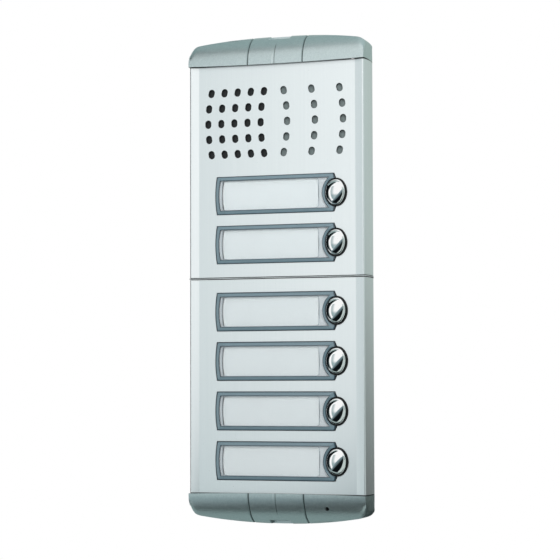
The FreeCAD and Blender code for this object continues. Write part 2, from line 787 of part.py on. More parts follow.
def key_mat(label, keys):
    """A silicone sheet with a hollow dome under each button, which collapses and springs back."""
    ends = sorted(keys, key=number)
    sheet_body = new_body(f"{label}_sheet")
    outline = rectangle(
        "key_x - mat_half_width", "key_x + mat_half_width",
        f"({ends[0]}) - mat_overhang", f"({ends[-1]}) + mat_overhang",
    )
    mat_front = f"({BOARD_FRONT} + mat_thickness)"
    add_front(sheet_body, outline, BOARD_FRONT, mat_front)
    domes, hollows = [], []
    for z in keys:
        dome = primitive(
            "Cone", Radius1="dome_base_radius", Radius2="dome_top_radius", Height=f"{DOME_TOP} - {mat_front}"
        )
        hollow = primitive(
            "Cylinder", Radius="dome_top_radius - dome_wall", Height=f"{DOME_TOP} - dome_wall - {BOARD_FRONT}"
        )
        domes.append(facing(dome, "key_x", mat_front, z))
        hollows.append(facing(hollow, "key_x", BOARD_FRONT, z))
    solid = combine("MultiFuse", f"{label}_solid", sheet_body, *domes)
    return combine("Cut", label, solid, combine("MultiFuse", f"{label}_hollows", *hollows))


upper_key_mat = key_mat("upper_key_mat", UPPER_KEYS)
lower_key_mat = key_mat("lower_key_mat", LOWER_KEYS)

# Boards and their parts ---------------------------------------------------------------------


def circuit_board(label, sign):
    """A board on the frame's bosses, notched at the cable entry; the upper has a tab under the top cap."""
    near, far = "board_joint", f"({PLATE_END} - board_end_inset)"
    notch, notch_far = "(entry_width/2)", "(entry_height/2 + board_joint)"
    tab, tab_far = "(board_tab_width/2)", f"({far} + board_tab_reach)"
    half = [(notch, notch_far), (notch, near), ("board_half_width", near), ("board_half_width", far)]
    if sign > 0:
        half += [(tab, far), (tab, tab_far)]
    piece = new_body(label)
    loop = sides(half)
    if sign < 0:
        loop = [(x, f"-({z})") for x, z in reversed(loop)]
    holes = [(x, z, "screw_radius + screw_gap") for x, z in BOSSES if number(z) * sign > 0]
    sketch = new_sketch(piece, "XZ_Plane", "board_back")
    draw_loop(sketch, loop)
    for x, z, radius in holes:
        draw_circle(sketch, x, z, radius)
    pad(piece, sketch, "board_thickness")
    return piece


speaker_board = circuit_board("speaker_board", 1)
key_board = circuit_board("key_board", -1)

link_half = "(link_length/2)"
link_board = box(
    "-(entry_width/2 + link_clearance + link_width)", "-(entry_width/2 + link_clearance)", BOARD_FRONT,
    f"{BOARD_FRONT} + link_thickness", f"-{link_half}", link_half,
)
link_board.Label = "link_board"

CARD_MIDDLE = "((card_right - card_left)/2)"
lamps = []
for z in KEYS:
    for side in (-1, 1):
        middle = f"({CARD_MIDDLE} + {side}*led_spread/2)"
        lamps.append(box(
            f"{middle} - led_width/2", f"{middle} + led_width/2", BOARD_FRONT, f"{BOARD_FRONT} + led_height",
            f"{z} - led_width/2", f"{z} + led_width/2",
        ))
card_lamps = doc.addObject("Part::Compound", "CardLamps")
card_lamps.Label = "card_lamps"
card_lamps.Links = lamps

TERMINAL_LOW = "(entry_height/2 + board_joint + strip_thickness)"
TERMINAL_FRONT = f"({BOARD_FRONT} + terminal_height)"
block = box(
    "-terminal_length/2", "terminal_length/2", BOARD_FRONT, TERMINAL_FRONT,
    TERMINAL_LOW, f"{TERMINAL_LOW} + terminal_width",
)
well_half = "(terminal_screw_radius + screw_gap)"
wells, clamp_screws = [
    box(
        f"-2.5*terminal_pitch - {well_half}", f"2.5*terminal_pitch + {well_half}",
        f"{TERMINAL_FRONT} - terminal_height/2", TERMINAL_FRONT,
        f"{TERMINAL_LOW} + terminal_width/2 - {well_half}",
        f"{TERMINAL_LOW} + terminal_width/2 + {well_half}",
    )
], []
for step in range(6):
    x = f"(({step} - 2.5)*terminal_pitch)"
    z = f"({TERMINAL_LOW} + terminal_width/2)"
    clamp = primitive("Cylinder", Radius="terminal_screw_radius", Height="terminal_height/2 - 2*screw_gap")
    slot_cut = box(
        f"{x} - screw_gap", f"{x} + screw_gap", f"{TERMINAL_FRONT} - 4*screw_gap", TERMINAL_FRONT,
        f"{z} - 2*terminal_screw_radius", f"{z} + 2*terminal_screw_radius",
    )
    wells.append(box(
        f"{x} - terminal_screw_radius", f"{x} + terminal_screw_radius", f"{BOARD_FRONT} + 4*screw_gap",
        f"{BOARD_FRONT} + 4*screw_gap + 2*terminal_screw_radius", TERMINAL_LOW, z,
    ))
    facing(clamp, x, f"{TERMINAL_FRONT} - terminal_height/2", z)
    clamp_screws.append(combine("Cut", "terminal_screw", clamp, slot_cut))
terminal_block = combine("Cut", "terminal_block", block, combine("MultiFuse", "terminal_wells", *wells))
terminal_screws = doc.addObject("Part::Compound", "TerminalScrews")
terminal_screws.Label = "terminal_screws"
terminal_screws.Links = clamp_screws

TRIMMER_Z = f"({PLATE_END} + trimmer_clearance + trimmer_side/2)"
TRIMMER_FRONT = f"({BOARD_FRONT} + trimmer_height)"
trimmer_cases, rotors = [], {}
for name, side in (("speaker_trimmer", -1), ("microphone_trimmer", 1)):
    x = f"({side}*trimmer_spread/2)"
    case = box(
        f"{x} - trimmer_side/2", f"{x} + trimmer_side/2", BOARD_FRONT, TRIMMER_FRONT,
        f"{TRIMMER_Z} - trimmer_side/2", f"{TRIMMER_Z} + trimmer_side/2",
    )
    well = primitive("Cylinder", Radius="rotor_radius + rotor_gap", Height="trimmer_height")
    facing(well, x, f"{TRIMMER_FRONT} - trimmer_height/2", TRIMMER_Z)
    trimmer_cases.append(combine("Cut", "trimmer_case", case, well))
    rotor = primitive("Cylinder", Radius="rotor_radius", Height="trimmer_height/2 + rotor_rise - rotor_gap")
    facing(rotor, x, f"{TRIMMER_FRONT} - trimmer_height/2 + rotor_gap", TRIMMER_Z)
    rotor_front = f"({TRIMMER_FRONT} + rotor_rise)"
    slot_cut = box(
        f"{x} - rotor_radius*2", f"{x} + rotor_radius*2", f"{rotor_front} - rotor_rise", rotor_front,
        f"{TRIMMER_Z} - rotor_radius/6", f"{TRIMMER_Z} + rotor_radius/6",
    )
    rotors[name] = combine("Cut", name, rotor, slot_cut)
trimmer_bases = doc.addObject("Part::Compound", "TrimmerBases")
trimmer_bases.Label = "trimmer_bases"
trimmer_bases.Links = trimmer_cases

amplifier_chip = box(
    "right_column_first", "right_column_first + chip_side", BOARD_FRONT, f"{BOARD_FRONT} + chip_height",
    f"{GRILLE_CENTRE} - chip_side/2", f"{GRILLE_CENTRE} + chip_side/2",
)
amplifier_chip.Label = "amplifier_chip"
cans = []
for step in range(3):
    can = primitive("Cylinder", Radius="capacitor_radius", Height="capacitor_height")
    x = f"(right_column_first + {step}*3*capacitor_radius)"
    cans.append(facing(can, x, BOARD_FRONT, f"{GRILLE_CENTRE} - 2*grille_row_pitch"))
board_capacitors = doc.addObject("Part::Compound", "BoardCapacitors")
board_capacitors.Label = "board_capacitors"
board_capacitors.Links = cans

# Speaker and grille -------------------------------------------------------------------------

GRILLE_HALF = "(2*grille_row_pitch + slot_half_height + grille_margin)"
GRILLE_LOW, GRILLE_HIGH = f"({GRILLE_CENTRE} - {GRILLE_HALF})", f"({GRILLE_CENTRE} + {GRILLE_HALF})"
MESH_RIGHT = "-(left_column_first - 4*left_column_pitch - grille_margin)"
grille_insert = box(
    "right_column_first - grille_margin", "right_column_first + 2*right_column_pitch + grille_margin",
    "carrier_front", FACE_BACK, GRILLE_LOW, GRILLE_HIGH,
)
grille_insert.Label = "grille_insert"
speaker_mesh = box(
    "-(left_column_first + grille_margin)", MESH_RIGHT, f"{FACE_BACK} - mesh_thickness", FACE_BACK,
    GRILLE_LOW, GRILLE_HIGH,
)
speaker_mesh.Label = "speaker_mesh"


def turned(label, points):
    """A piece of revolution about the speaker's axis, from (radius, front) points."""
    piece = new_body(label)
    sketch = new_sketch(piece, "XY_Plane")
    draw_loop(sketch, [(radius, f"-({front})") for radius, front in points])
    turn = piece.newObject("PartDesign::Revolution", f"{piece.Name}Turn")
    turn.Profile = sketch
    turn.ReferenceAxis = (sketch, ["V_Axis"])
    turn.Angle = 360
    return place(piece, f"-{SPEAKER_X}", "0", GRILLE_CENTRE)


RIM_BACK = f"({CARRIER_BACK} - speaker_flange)"
SPEAKER_BACK = f"({CARRIER_BACK} - speaker_depth)"
MAGNET_FRONT = f"({SPEAKER_BACK} + magnet_height)"
CUP_RADIUS = "(speaker_radius - speaker_rim)"
CUP_INSIDE = f"({CUP_RADIUS} - speaker_wall)"
speaker_basket = turned("speaker_basket", [
    ("speaker_radius", CARRIER_BACK), ("speaker_radius", RIM_BACK), (CUP_RADIUS, RIM_BACK),
    (CUP_RADIUS, MAGNET_FRONT), ("coil_radius", MAGNET_FRONT),
    ("coil_radius", f"{MAGNET_FRONT} + speaker_wall"),
    (CUP_INSIDE, f"{MAGNET_FRONT} + speaker_wall"), (CUP_INSIDE, CARRIER_BACK),
])
CONE_BACK = f"({MAGNET_FRONT} + 2*speaker_wall)"
speaker_cone = turned("speaker_cone", [
    ("0", f"{CONE_BACK} + cone_thickness"), ("coil_radius", f"{CONE_BACK} + cone_thickness"),
    (CUP_INSIDE, f"{CARRIER_BACK} - cone_thickness"), (CUP_INSIDE, CONE_BACK), ("0", CONE_BACK),
])
speaker_magnet = turned("speaker_magnet", [
    ("0", SPEAKER_BACK), ("magnet_radius", SPEAKER_BACK), ("magnet_radius", MAGNET_FRONT),
    ("0", MAGNET_FRONT),
])
speaker_gasket = turned("speaker_gasket", [
    ("speaker_radius - speaker_rim", "carrier_front"), ("speaker_radius - speaker_wall", "carrier_front"),
    ("speaker_radius - speaker_wall", f"{FACE_BACK} - mesh_thickness"),
    ("speaker_radius - speaker_rim", f"{FACE_BACK} - mesh_thickness"),
])

# End caps and microphone --------------------------------------------------------------------

CAP_DROP = "(corner_front + cap_proud - cap_end_front)"
CAP_ROUND = sagitta_radius("cap_height", CAP_DROP)
CAP_HALF = f"({HALF_FRONT} + cap_side)"
CAP_JOINT = f"({PLATE_END} + cap_joint)"
CAP_SIDE_TOP = f"({CAP_TOP} - cap_bow)"


def cap_side_profile(label, inset, back):
    """The cap from the side: straight up from the plate, then a quarter round back to the outer edge."""
    radius = f"({CAP_ROUND} - ({inset}))"
    high = f"({CAP_TOP} - ({inset}))"
    end = f"({CAP_FRONT} - {CAP_ROUND} + sqrt({radius}^2 - (cap_height - ({inset}))^2))"
    piece = new_body(label)
    sketch = new_sketch(piece, "YZ_Plane")
    front, low = f"-({CAP_FRONT} - ({inset}))", f"{PLATE_END} - forming_overrun"
    draw_loop(sketch, [
        (front, low), (back, low), (back, high), (f"-{end}", high), (front, PLATE_END, radius),
    ])
    pad(piece, sketch, "2*plate_width", midplane=True)
    return piece


def cap_outline(label, inset, low_end, low_bow):
    """The cap seen from the front: a bowed inner edge, tapering ends and a bowed outer edge."""
    half = f"({CAP_HALF} + side_lean - ({inset}))"
    top_half = f"({half} - cap_taper)"
    side_top = f"({CAP_SIDE_TOP} - ({inset}))"
    side = sagitta_radius("(cap_height - cap_bow - cap_joint)", "cap_taper")
    low_arc = (sagitta_radius(half, low_bow),) if low_bow else ()
    piece = new_body(label)
    loop = [
        (f"-{half}", low_end), (half, low_end, *low_arc), (half, CAP_JOINT),
        (top_half, side_top, side), (f"-{top_half}", side_top, sagitta_radius(top_half, "cap_bow")),
        (f"-{half}", CAP_JOINT, side),
    ]
    if low_end == CAP_JOINT:
        loop = loop[:2] + loop[3:5]
        loop[0] = (*loop[0], side)
    add_front(piece, loop, "-forming_overrun", f"{CAP_FRONT} + forming_overrun")
    return piece


def cap_plan(label, inset, back):
    """The cap seen from above, with sides as convex as the plates'."""
    piece = new_body(label)
    sketch = new_sketch(piece, "XY_Plane", f"{PLATE_END} - forming_overrun")
    foot = f"({HALF_FOOT} + cap_side - ({inset}))"
    half = [
        (f"{CAP_HALF} - ({inset})", f"-{CAP_FRONT}"),
        (foot, "-wall_gap", f"side_radius + cap_side - ({inset})"),
    ]
    if back != "-wall_gap":
        half.append((foot, back))
    draw_loop(sketch, sides(half))
    pad(piece, sketch, "cap_height + 2*forming_overrun")
    return piece


skin = combine(
    "MultiCommon", "cap_block", cap_side_profile("cap_side", "0", "-wall_gap"),
    cap_outline("cap_front", "0", CAP_JOINT, "cap_lip_bow"), cap_plan("cap_top", "0", "-wall_gap"),
)
hollow = combine(
    "MultiCommon", "cap_hollow", cap_side_profile("cap_side_inside", "cap_wall", "plate_wall"),
    cap_outline("cap_front_inside", "cap_wall", f"({PLATE_END} - forming_overrun)", ""),
    cap_plan("cap_top_inside", "cap_wall", "plate_wall"),
)
shell = combine("Cut", "cap_shell", skin, hollow)
lip_blocks = [
    box(x1, x2, "wall_gap", LIP_FRONT, f"{CAP_JOINT} + slide_gap", f"{FRAME_END} - slide_gap")
    for x1, x2 in ((LIP_INNER, CAP_HALF), (f"-{CAP_HALF}", f"-{LIP_INNER}"))
]
lips = combine("MultiCommon", "cap_lips", skin, combine("MultiFuse", "cap_lip_blocks", *lip_blocks))
groove_blocks = [
    box(
        f"{side}*groove_spread/2 - groove_width/2", f"{side}*groove_spread/2 + groove_width/2",
        "cap_end_front - cap_wall", f"{CAP_FRONT} + cap_wall",
        f"{PLATE_END} - cap_wall*2", f"{CAP_TOP} + cap_wall",
    )
    for side in (-1, 1)
]
grooves = combine(
    "Cut", "cap_grooves", combine("MultiFuse", "cap_groove_blocks", *groove_blocks),
    cap_side_profile("cap_groove_floor", "groove_depth", "0"),
)
release_slot = box(
    "-release_width/2", "release_width/2", "cap_end_front - cap_wall", "cap_end_front + 4*cap_wall",
    f"{CAP_TOP} - release_height", f"{CAP_TOP} + cap_wall",
)
top_end_cap = combine(
    "Cut", "top_end_cap", combine("MultiFuse", "cap_with_lips", shell, lips),
    combine("MultiFuse", "cap_cuts", grooves, release_slot),
)
mirrored_cap = doc.addObject("Part::Mirroring", "MirroredCap")
mirrored_cap.Source = top_end_cap
mirrored_cap.Normal = FreeCAD.Vector(0, 0, 1)
sound_hole = primitive("Cylinder", Radius="sound_hole_radius", Height="3*cap_wall + cap_height/2")
facing(sound_hole, "microphone_x", f"{CAP_FRONT} + cap_wall - (3*cap_wall + cap_height/2)", MICROPHONE_Z)
bottom_end_cap = combine("Cut", "bottom_end_cap", mirrored_cap, sound_hole)

CAPSULE_BACK = f"({BOOT_BACK} + boot_wall)"
CAPSULE_FRONT = f"({CAPSULE_BACK} + microphone_length)"
NOZZLE_FRONT = (
    f"({CAP_FRONT} - {CAP_ROUND} + sqrt(({CAP_ROUND} - cap_wall)^2 - (microphone_drop + nozzle_radius)^2)"
    " - nozzle_gap)"
)
microphone = facing(
    primitive("Cylinder", Radius="microphone_radius", Height="microphone_length"),
    "microphone_x", CAPSULE_BACK, MICROPHONE_Z,
)
microphone.Label = "microphone"
boot = primitive("Cylinder", Radius=BOOT_RADIUS, Height=f"{CAPSULE_FRONT} + boot_wall - {BOOT_BACK}")
nozzle = primitive("Cylinder", Radius="nozzle_radius", Height=f"{NOZZLE_FRONT} - {CAPSULE_FRONT}")
capsule_room = primitive("Cylinder", Radius="microphone_radius", Height="microphone_length")
duct = primitive(
    "Cylinder", Radius="sound_hole_radius", Height=f"{NOZZLE_FRONT} - {CAPSULE_FRONT} + boot_wall"
)
facing(boot, "microphone_x", BOOT_BACK, MICROPHONE_Z)
facing(nozzle, "microphone_x", CAPSULE_FRONT, MICROPHONE_Z)
facing(capsule_room, "microphone_x", CAPSULE_BACK, MICROPHONE_Z)
facing(duct, "microphone_x", CAPSULE_FRONT, MICROPHONE_Z)
microphone_boot = combine(
    "Cut", "microphone_boot", combine("MultiFuse", "boot_outside", boot, nozzle),
    combine("MultiFuse", "boot_inside", capsule_room, duct),
)

# Check and write ----------------------------------------------------------------------------

pieces = [
    mounting_frame, wall_gasket, upper_front_plate, lower_front_plate, plate_separator, upper_carrier,
    lower_carrier, carrier_screws, grille_insert, speaker_mesh, speaker_gasket, speaker_basket, speaker_cone,
    speaker_magnet, speaker_board, key_board, link_board, upper_key_mat, lower_key_mat, card_lamps,
    terminal_block, terminal_screws, trimmer_bases, amplifier_chip, board_capacitors, microphone,
    microphone_boot, top_end_cap, bottom_end_cap,
]
pieces += list(rotors.values()) + windows + cards + rings + buttons
doc.recompute()
failed = [thing.Label for thing in doc.Objects if "Invalid" in thing.State or "Error" in thing.State]
if failed:
    raise RuntimeError(f"These objects failed: {failed}")
os.makedirs("parts", exist_ok=True)
for piece in pieces:
    if piece.Shape.isNull() or not piece.Shape.isValid() or not piece.Shape.Solids:
        raise RuntimeError(f"{piece.Label} has no valid solid")
    piece.Shape.exportStep(f"parts/{piece.Label}.step")
    print(piece.Label, len(piece.Shape.Solids), round(piece.Shape.Volume, 1), piece.Shape.BoundBox)
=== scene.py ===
import math

import bmesh
import bpy
import numpy as np
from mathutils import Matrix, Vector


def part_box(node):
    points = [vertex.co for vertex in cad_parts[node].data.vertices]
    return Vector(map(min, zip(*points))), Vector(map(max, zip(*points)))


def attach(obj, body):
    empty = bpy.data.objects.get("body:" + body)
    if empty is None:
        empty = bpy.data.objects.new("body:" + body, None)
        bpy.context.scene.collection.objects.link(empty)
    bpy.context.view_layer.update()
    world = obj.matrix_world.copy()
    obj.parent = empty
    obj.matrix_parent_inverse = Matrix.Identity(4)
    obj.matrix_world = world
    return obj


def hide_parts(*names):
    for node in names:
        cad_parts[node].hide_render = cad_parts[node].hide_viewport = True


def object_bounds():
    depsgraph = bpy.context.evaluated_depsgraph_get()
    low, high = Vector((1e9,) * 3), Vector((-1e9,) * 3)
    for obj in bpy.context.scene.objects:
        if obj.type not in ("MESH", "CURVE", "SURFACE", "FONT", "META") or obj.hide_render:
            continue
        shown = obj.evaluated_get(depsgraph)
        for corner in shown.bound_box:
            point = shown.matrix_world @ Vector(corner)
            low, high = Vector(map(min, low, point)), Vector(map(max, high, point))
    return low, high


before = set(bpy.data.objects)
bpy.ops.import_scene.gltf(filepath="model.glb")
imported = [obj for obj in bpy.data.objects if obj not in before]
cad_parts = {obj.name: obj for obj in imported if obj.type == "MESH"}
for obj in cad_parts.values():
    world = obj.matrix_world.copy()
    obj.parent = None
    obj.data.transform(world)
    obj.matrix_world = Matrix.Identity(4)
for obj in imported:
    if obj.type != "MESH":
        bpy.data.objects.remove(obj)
cad_low, cad_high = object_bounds()

# Wall frame and gasket ------------------------------------------------------------------------
# The back moulding is glass-filled plastic with a fine eroded grain, screwed to the wall at its
# ends. A strip of closed-cell foam is pressed into the groove round its back face.

MM = 0.001


class Socket:
    """An output in a node tree. Arithmetic on it adds Math nodes."""

    def __init__(self, nodes, output):
        self.nodes, self.output = nodes, output

    def maths(self, operation, *values):
        return self.nodes.node("Math", {"operation": operation}, dict(enumerate(values)))

    def __add__(self, other):
        return self.maths("ADD", self, other)

    def __sub__(self, other):
        return self.maths("SUBTRACT", self, other)

    def __rsub__(self, other):
        return self.maths("SUBTRACT", other, self)

    def __mul__(self, other):
        return self.maths("MULTIPLY", self, other)

    def __lt__(self, other):
        return self.maths("LESS_THAN", self, other)

    def __abs__(self):
        return self.maths("ABSOLUTE", self)

    __radd__, __rmul__ = __add__, __mul__


class Nodes:
    """A node tree. Its methods add nodes and give their outputs."""

    def __init__(self, tree):
        self.tree = tree

    def feed(self, node, sockets):
        for key, value in sockets.items():
            if isinstance(value, Socket):
                self.tree.links.new(value.output, node.inputs[key])
            else:
                node.inputs[key].default_value = value

    def node(self, kind, settings, sockets, out=0):
        """Adds one node: its settings first, then the values or links of its sockets."""
        made = self.tree.nodes.new(f"ShaderNode{kind}")
        for name, value in settings.items():
            if name == "stops":
                for stop, (place, grey) in zip(made.color_ramp.elements, value):
                    stop.position, stop.color = place, (grey, grey, grey, 1)
            else:
                setattr(made, name, value)
        self.feed(made, sockets)
        return Socket(self, made.outputs[out])

    def place(self):
        return self.node("TexCoord", {}, {}, "Object")

    def axis(self, letter):
        return self.node("SeparateXYZ", {}, {0: self.place()}, letter)

    def share(self, value, start, end, curve="LINEAR"):
        """Goes from 0 to 1 while `value` goes from `start` to `end`, and stays within them."""
        sockets = {"Value": value, "From Min": start, "From Max": end}
        return self.node("MapRange", {"interpolation_type": curve}, sockets)

    def noise(self, size, detail=2.0, stretch=(1, 1, 1)):
        """Noise whose blotches are about `size` metres across, drawn out along an axis by `stretch`."""
        scaled = self.node("Mapping", {}, {"Vector": self.place(), "Scale": stretch})
        return self.node("TexNoise", {}, {"Vector": scaled, "Scale": 1 / size, "Detail": detail})

    def mix(self, factor, first, second):
        return self.node("Mix", {"data_type": "RGBA"}, {0: factor, 6: first, 7: second}, 2)


class Finish(Nodes):
    """A surface finish: a material whose one Principled shader is fed by nodes."""

    def __init__(self, name, shader_values):
        self.material = bpy.data.materials.new(name)
        self.material.use_nodes = True
        super().__init__(self.material.node_tree)
        self.shader = self.tree.nodes["Principled BSDF"]
        self.feed(self.shader, shader_values)

    def relief(self, height, depth):
        """Bumps the surface by `height`, from 0 to 1, over `depth` metres."""
        self.feed(self.shader, {"Normal": self.node("Bump", {}, {"Height": height, "Distance": depth})})


def tone(red, green, blue):
    """A display colour, 0 to 255, as the linear colour that shaders take."""
    share = np.array([red, green, blue]) / 255
    linear = np.where(share <= 0.04045, share / 12.92, ((share + 0.055) / 1.055) ** 2.4)
    return (*linear.tolist(), 1.0)


def shaded(colour, factor):
    """A colour times a factor, and no lighter than white."""
    return (*(min(1.0, channel * factor) for channel in colour[:3]), 1.0)


def moulded(name, colour, roughness=0.45, grain=0.5 * MM, relief=0.03 * MM, **extra):
    """Moulded plastic or rubber: a slightly mottled colour over a fine eroded grain."""
    finish = Finish(name, extra)
    cloud = finish.noise(12 * MM, 3.0)
    grain_height = finish.noise(grain)
    finish.feed(finish.shader, {
        "Base Color": finish.mix(cloud, shaded(colour, 0.94), shaded(colour, 1.06)),
        "Roughness": roughness - 0.05 + grain_height * 0.1,
    })
    finish.relief(grain_height, relief)
    return finish


def paint(finish, *nodes):
    """Gives solids that are carried over as they are their finish."""
    for node in nodes:
        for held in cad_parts[node].material_slots:
            held.material = finish.material


paint(moulded("frame_moulding", tone(78, 82, 84), 0.55, 0.6 * MM, 0.05 * MM), "mounting_frame")
paint(moulded("foam", tone(38, 39, 41), 0.9, 0.9 * MM, 0.15 * MM), "wall_gasket")

# Boards and their parts -----------------------------------------------------------------------
# Glass-epoxy boards under green solder mask, with copper tracks showing as paler lines, and the
# moulded and drawn parts soldered to them. They show at the cable entry and with a cap off.


def solder_mask():
    """Green mask: tracks are the edges of square cells, which show a little paler and raised."""
    finish = Finish("solder_mask", {"Roughness": 0.3, "Coat Weight": 0.4, "Coat Roughness": 0.1})
    turned = {"Vector": finish.place(), "Rotation": (math.pi / 2, 0, 0)}
    cells = finish.node("TexBrick", {"offset": 0.3}, {
        "Vector": finish.node("Mapping", {}, turned),
        "Color1": (0, 0, 0, 1), "Color2": (0, 0, 0, 1), "Mortar": (1, 1, 1, 1), "Scale": 260.0,
        "Mortar Size": 0.035, "Brick Width": 1.3, "Row Height": 0.6,
    })
    finish.feed(finish.shader, {"Base Color": finish.mix(cells, tone(28, 92, 62), tone(64, 132, 90))})
    finish.relief(cells, 0.04 * MM)
    return finish


def metal(name, colour, roughness):
    """Bare or plated metal: its roughness varies in soft blotches."""
    finish = Finish(name, {"Base Color": colour, "Metallic": 1.0})
    blotches = finish.noise(4 * MM, 4.0)
    finish.feed(finish.shader, {"Roughness": roughness * 0.8 + blotches * roughness * 0.4})
    finish.relief(blotches, 0.01 * MM)
    return finish


paint(solder_mask(), "speaker_board", "key_board", "link_board")
paint(moulded("terminal_green", tone(52, 128, 84), 0.4), "terminal_block")
paint(moulded("trimmer_blue", tone(48, 86, 160), 0.3), "trimmer_bases")
paint(moulded("chip_epoxy", tone(34, 34, 36), 0.55), "amplifier_chip")
paint(moulded("lamp_lens", tone(246, 240, 206), 0.2), "card_lamps")
paint(metal("drawn_can", tone(206, 208, 210), 0.3), "board_capacitors", "microphone")
paint(metal("rotor_brass", tone(206, 176, 104), 0.3), "speaker_trimmer", "microphone_trimmer")
paint(metal("zinc_plate", tone(200, 203, 206), 0.28), "carrier_screws", "terminal_screws")

# Speaker --------------------------------------------------------------------------------------
# A small plated-steel basket with a ferrite magnet and a black cone, on a foam ring behind the
# left fan of holes.

paint(metal("basket_steel", tone(170, 172, 174), 0.35), "speaker_basket")
paint(moulded("ferrite", tone(70, 70, 73), 0.6), "speaker_magnet")
paint(moulded("cone_film", tone(30, 30, 31), 0.35), "speaker_cone")
paint(moulded("speaker_foam", tone(36, 36, 38), 0.9, 0.9 * MM, 0.15 * MM), "speaker_gasket")

# Rubber parts ---------------------------------------------------------------------------------
# Moulded silicone: the key mats, whose domes spring the buttons back, and the boot that holds the
# microphone against its sound hole.

paint(moulded("key_silicone", tone(198, 202, 204), 0.6), "upper_key_mat", "lower_key_mat")
paint(moulded("boot_silicone", tone(96, 100, 100), 0.6), "microphone_boot")

# Key carriers ---------------------------------------------------------------------------------
# White moulded plates screwed to the frame's bosses. They guide the buttons, and their white
# shows beside each name card.

paint(moulded("carrier_white", tone(232, 238, 240), 0.5), "upper_carrier", "lower_carrier")

# Front plates and the strip between them ------------------------------------------------------
# Lengths of one aluminium extrusion, etched and clear anodised, with punched openings whose
# edges are just broken. A pale plastic strip, with painted shade along its seams, closes the joint
# between them.


def clean_copy(node):
    """The node's own surface as an editable mesh: its triangles are joined and merged to flat faces."""
    surface = bmesh.new()
    surface.from_mesh(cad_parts[node].data)
    bmesh.ops.remove_doubles(surface, verts=surface.verts, dist=0.001 * MM)
    flat = math.radians(0.2)
    bmesh.ops.dissolve_limit(surface, angle_limit=flat, verts=surface.verts, edges=surface.edges)
    return surface


SHARP = math.radians(32)


def broken_edges(name, surface, width, segments, fold=SHARP):
    """A piece from an editable mesh, its sharp edges rounded over `width` metres.

    Edges that turn by more than `fold` stay crisp, the rest is shaded smooth.
    """
    surface.normal_update()
    for face in surface.faces:
        face.smooth = True
    for edge in surface.edges:
        edge.smooth = edge.calc_face_angle(0) < fold
    data = bpy.data.meshes.new(name)
    surface.to_mesh(data)
    surface.free()
    piece = bpy.data.objects.new(name, data)
    bpy.context.scene.collection.objects.link(piece)
    bevel = piece.modifiers.new("broken_edges", "BEVEL")
    bevel.width, bevel.segments, bevel.limit_method = width, segments, "ANGLE"
    bevel.angle_limit, bevel.harden_normals = SHARP, True
    return piece


def fit(piece, finish, body, slot, *nodes):
    """Puts a finished piece on its body, in place of its solids; `slot` is not used."""
    piece.data.materials.clear()
    piece.data.materials.append(finish.material)
    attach(piece, body)
    if nodes:
        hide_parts(*nodes)


FRONT_CORNER = 45 * MM
FRONT_DEPTH = 21.9 * MM
LONG_EDGE = 22 * MM
CORNER_ROUND = 0.9 * MM
PLATE_FOLD = math.radians(11)
PLATE_FACE = -20.9 * MM
PLATE_END = 116.2 * MM
FLAT_HALF = 44.6 * MM


def anodised():
    """Etched aluminium under clear anodising: fine grain, and faint die lines along the length.

    The punched walls, a little behind the flat of the front, carry painted shade, and the ends a
    painted shadow line where they meet the caps.
    """
    finish = Finish("anodised_aluminium", {"Metallic": 0.8})
    grain = finish.noise(0.5 * MM, 3.0)
    die_lines = finish.noise(1.1 * MM, 1.0, (1, 1, 0.01))
    colour = finish.mix(die_lines, tone(235, 242, 243), tone(241, 247, 248))
    # Painted shade on the punched walls, just behind the flat of the front.
    behind = finish.share(finish.axis("Y"), PLATE_FACE + 0.12 * MM, PLATE_FACE + 0.3 * MM)
    flat_part = abs(finish.axis("X")) < FLAT_HALF
    colour = finish.mix(behind * flat_part * 0.9, colour, tone(30, 36, 38))
    # A painted shadow line along the plates' ends, where they meet the caps.
    joint_shadow = finish.share(abs(finish.axis("Z")), PLATE_END - 0.45 * MM, PLATE_END - 0.2 * MM)
    colour = finish.mix(joint_shadow * 0.85, colour, tone(34, 42, 44))
    finish.feed(finish.shader, {"Base Color": colour, "Roughness": 0.27 + grain * 0.015})
    return finish


plate_finish = anodised()
for node in ("upper_front_plate", "lower_front_plate"):
    surface = clean_copy(node)
    corners = [
        edge for edge in surface.edges
        if all(abs(vertex.co.x) > FRONT_CORNER and vertex.co.y < -FRONT_DEPTH for vertex in edge.verts)
        and abs(edge.verts[0].co.z - edge.verts[1].co.z) > LONG_EDGE
    ]
    bmesh.ops.bevel(surface, geom=corners, offset=CORNER_ROUND, segments=9, profile=0.5, affect="EDGES")
    channel = broken_edges(f"{node}_shell", surface, 0.18 * MM, 2, PLATE_FOLD)
    fit(channel, plate_finish, "panel", "front_aluminium", node)


def seamed_strip():
    """Pale plastic with painted shade along both of its seams with the plates."""
    finish = moulded("strip_pale", tone(206, 216, 217), 0.4)
    # Painted shade along both seams.
    seam_shade = finish.share(abs(finish.axis("Z")), 0.12 * MM, 0.2 * MM)
    pale = finish.mix(finish.noise(3 * MM), tone(198, 208, 209), tone(212, 221, 222))
    finish.feed(finish.shader, {"Base Color": finish.mix(seam_shade, pale, tone(24, 31, 35))})
    return finish


strip = broken_edges("separator_strip", clean_copy("plate_separator"), 0.1 * MM, 2)
fit(strip, seamed_strip(), "panel", "strip_plastic", "plate_separator")

# Grille backing -------------------------------------------------------------------------------
# Behind the left fan of holes lies a black woven dust screen, and behind the right one a plain
# grey plate.

paint(moulded("screen_black", tone(30, 33, 34), 0.6), "speaker_mesh")
paint(moulded("insert_grey", tone(118, 130, 130), 0.5, 0.4 * MM, 0.04 * MM), "grille_insert")

# End caps -------------------------------------------------------------------------------------
# Die castings in a satin silver-grey coat over a fine sand texture. Each slides over the frame's
# end and is caught behind its release slot. The corners of its ends are generously rounded.

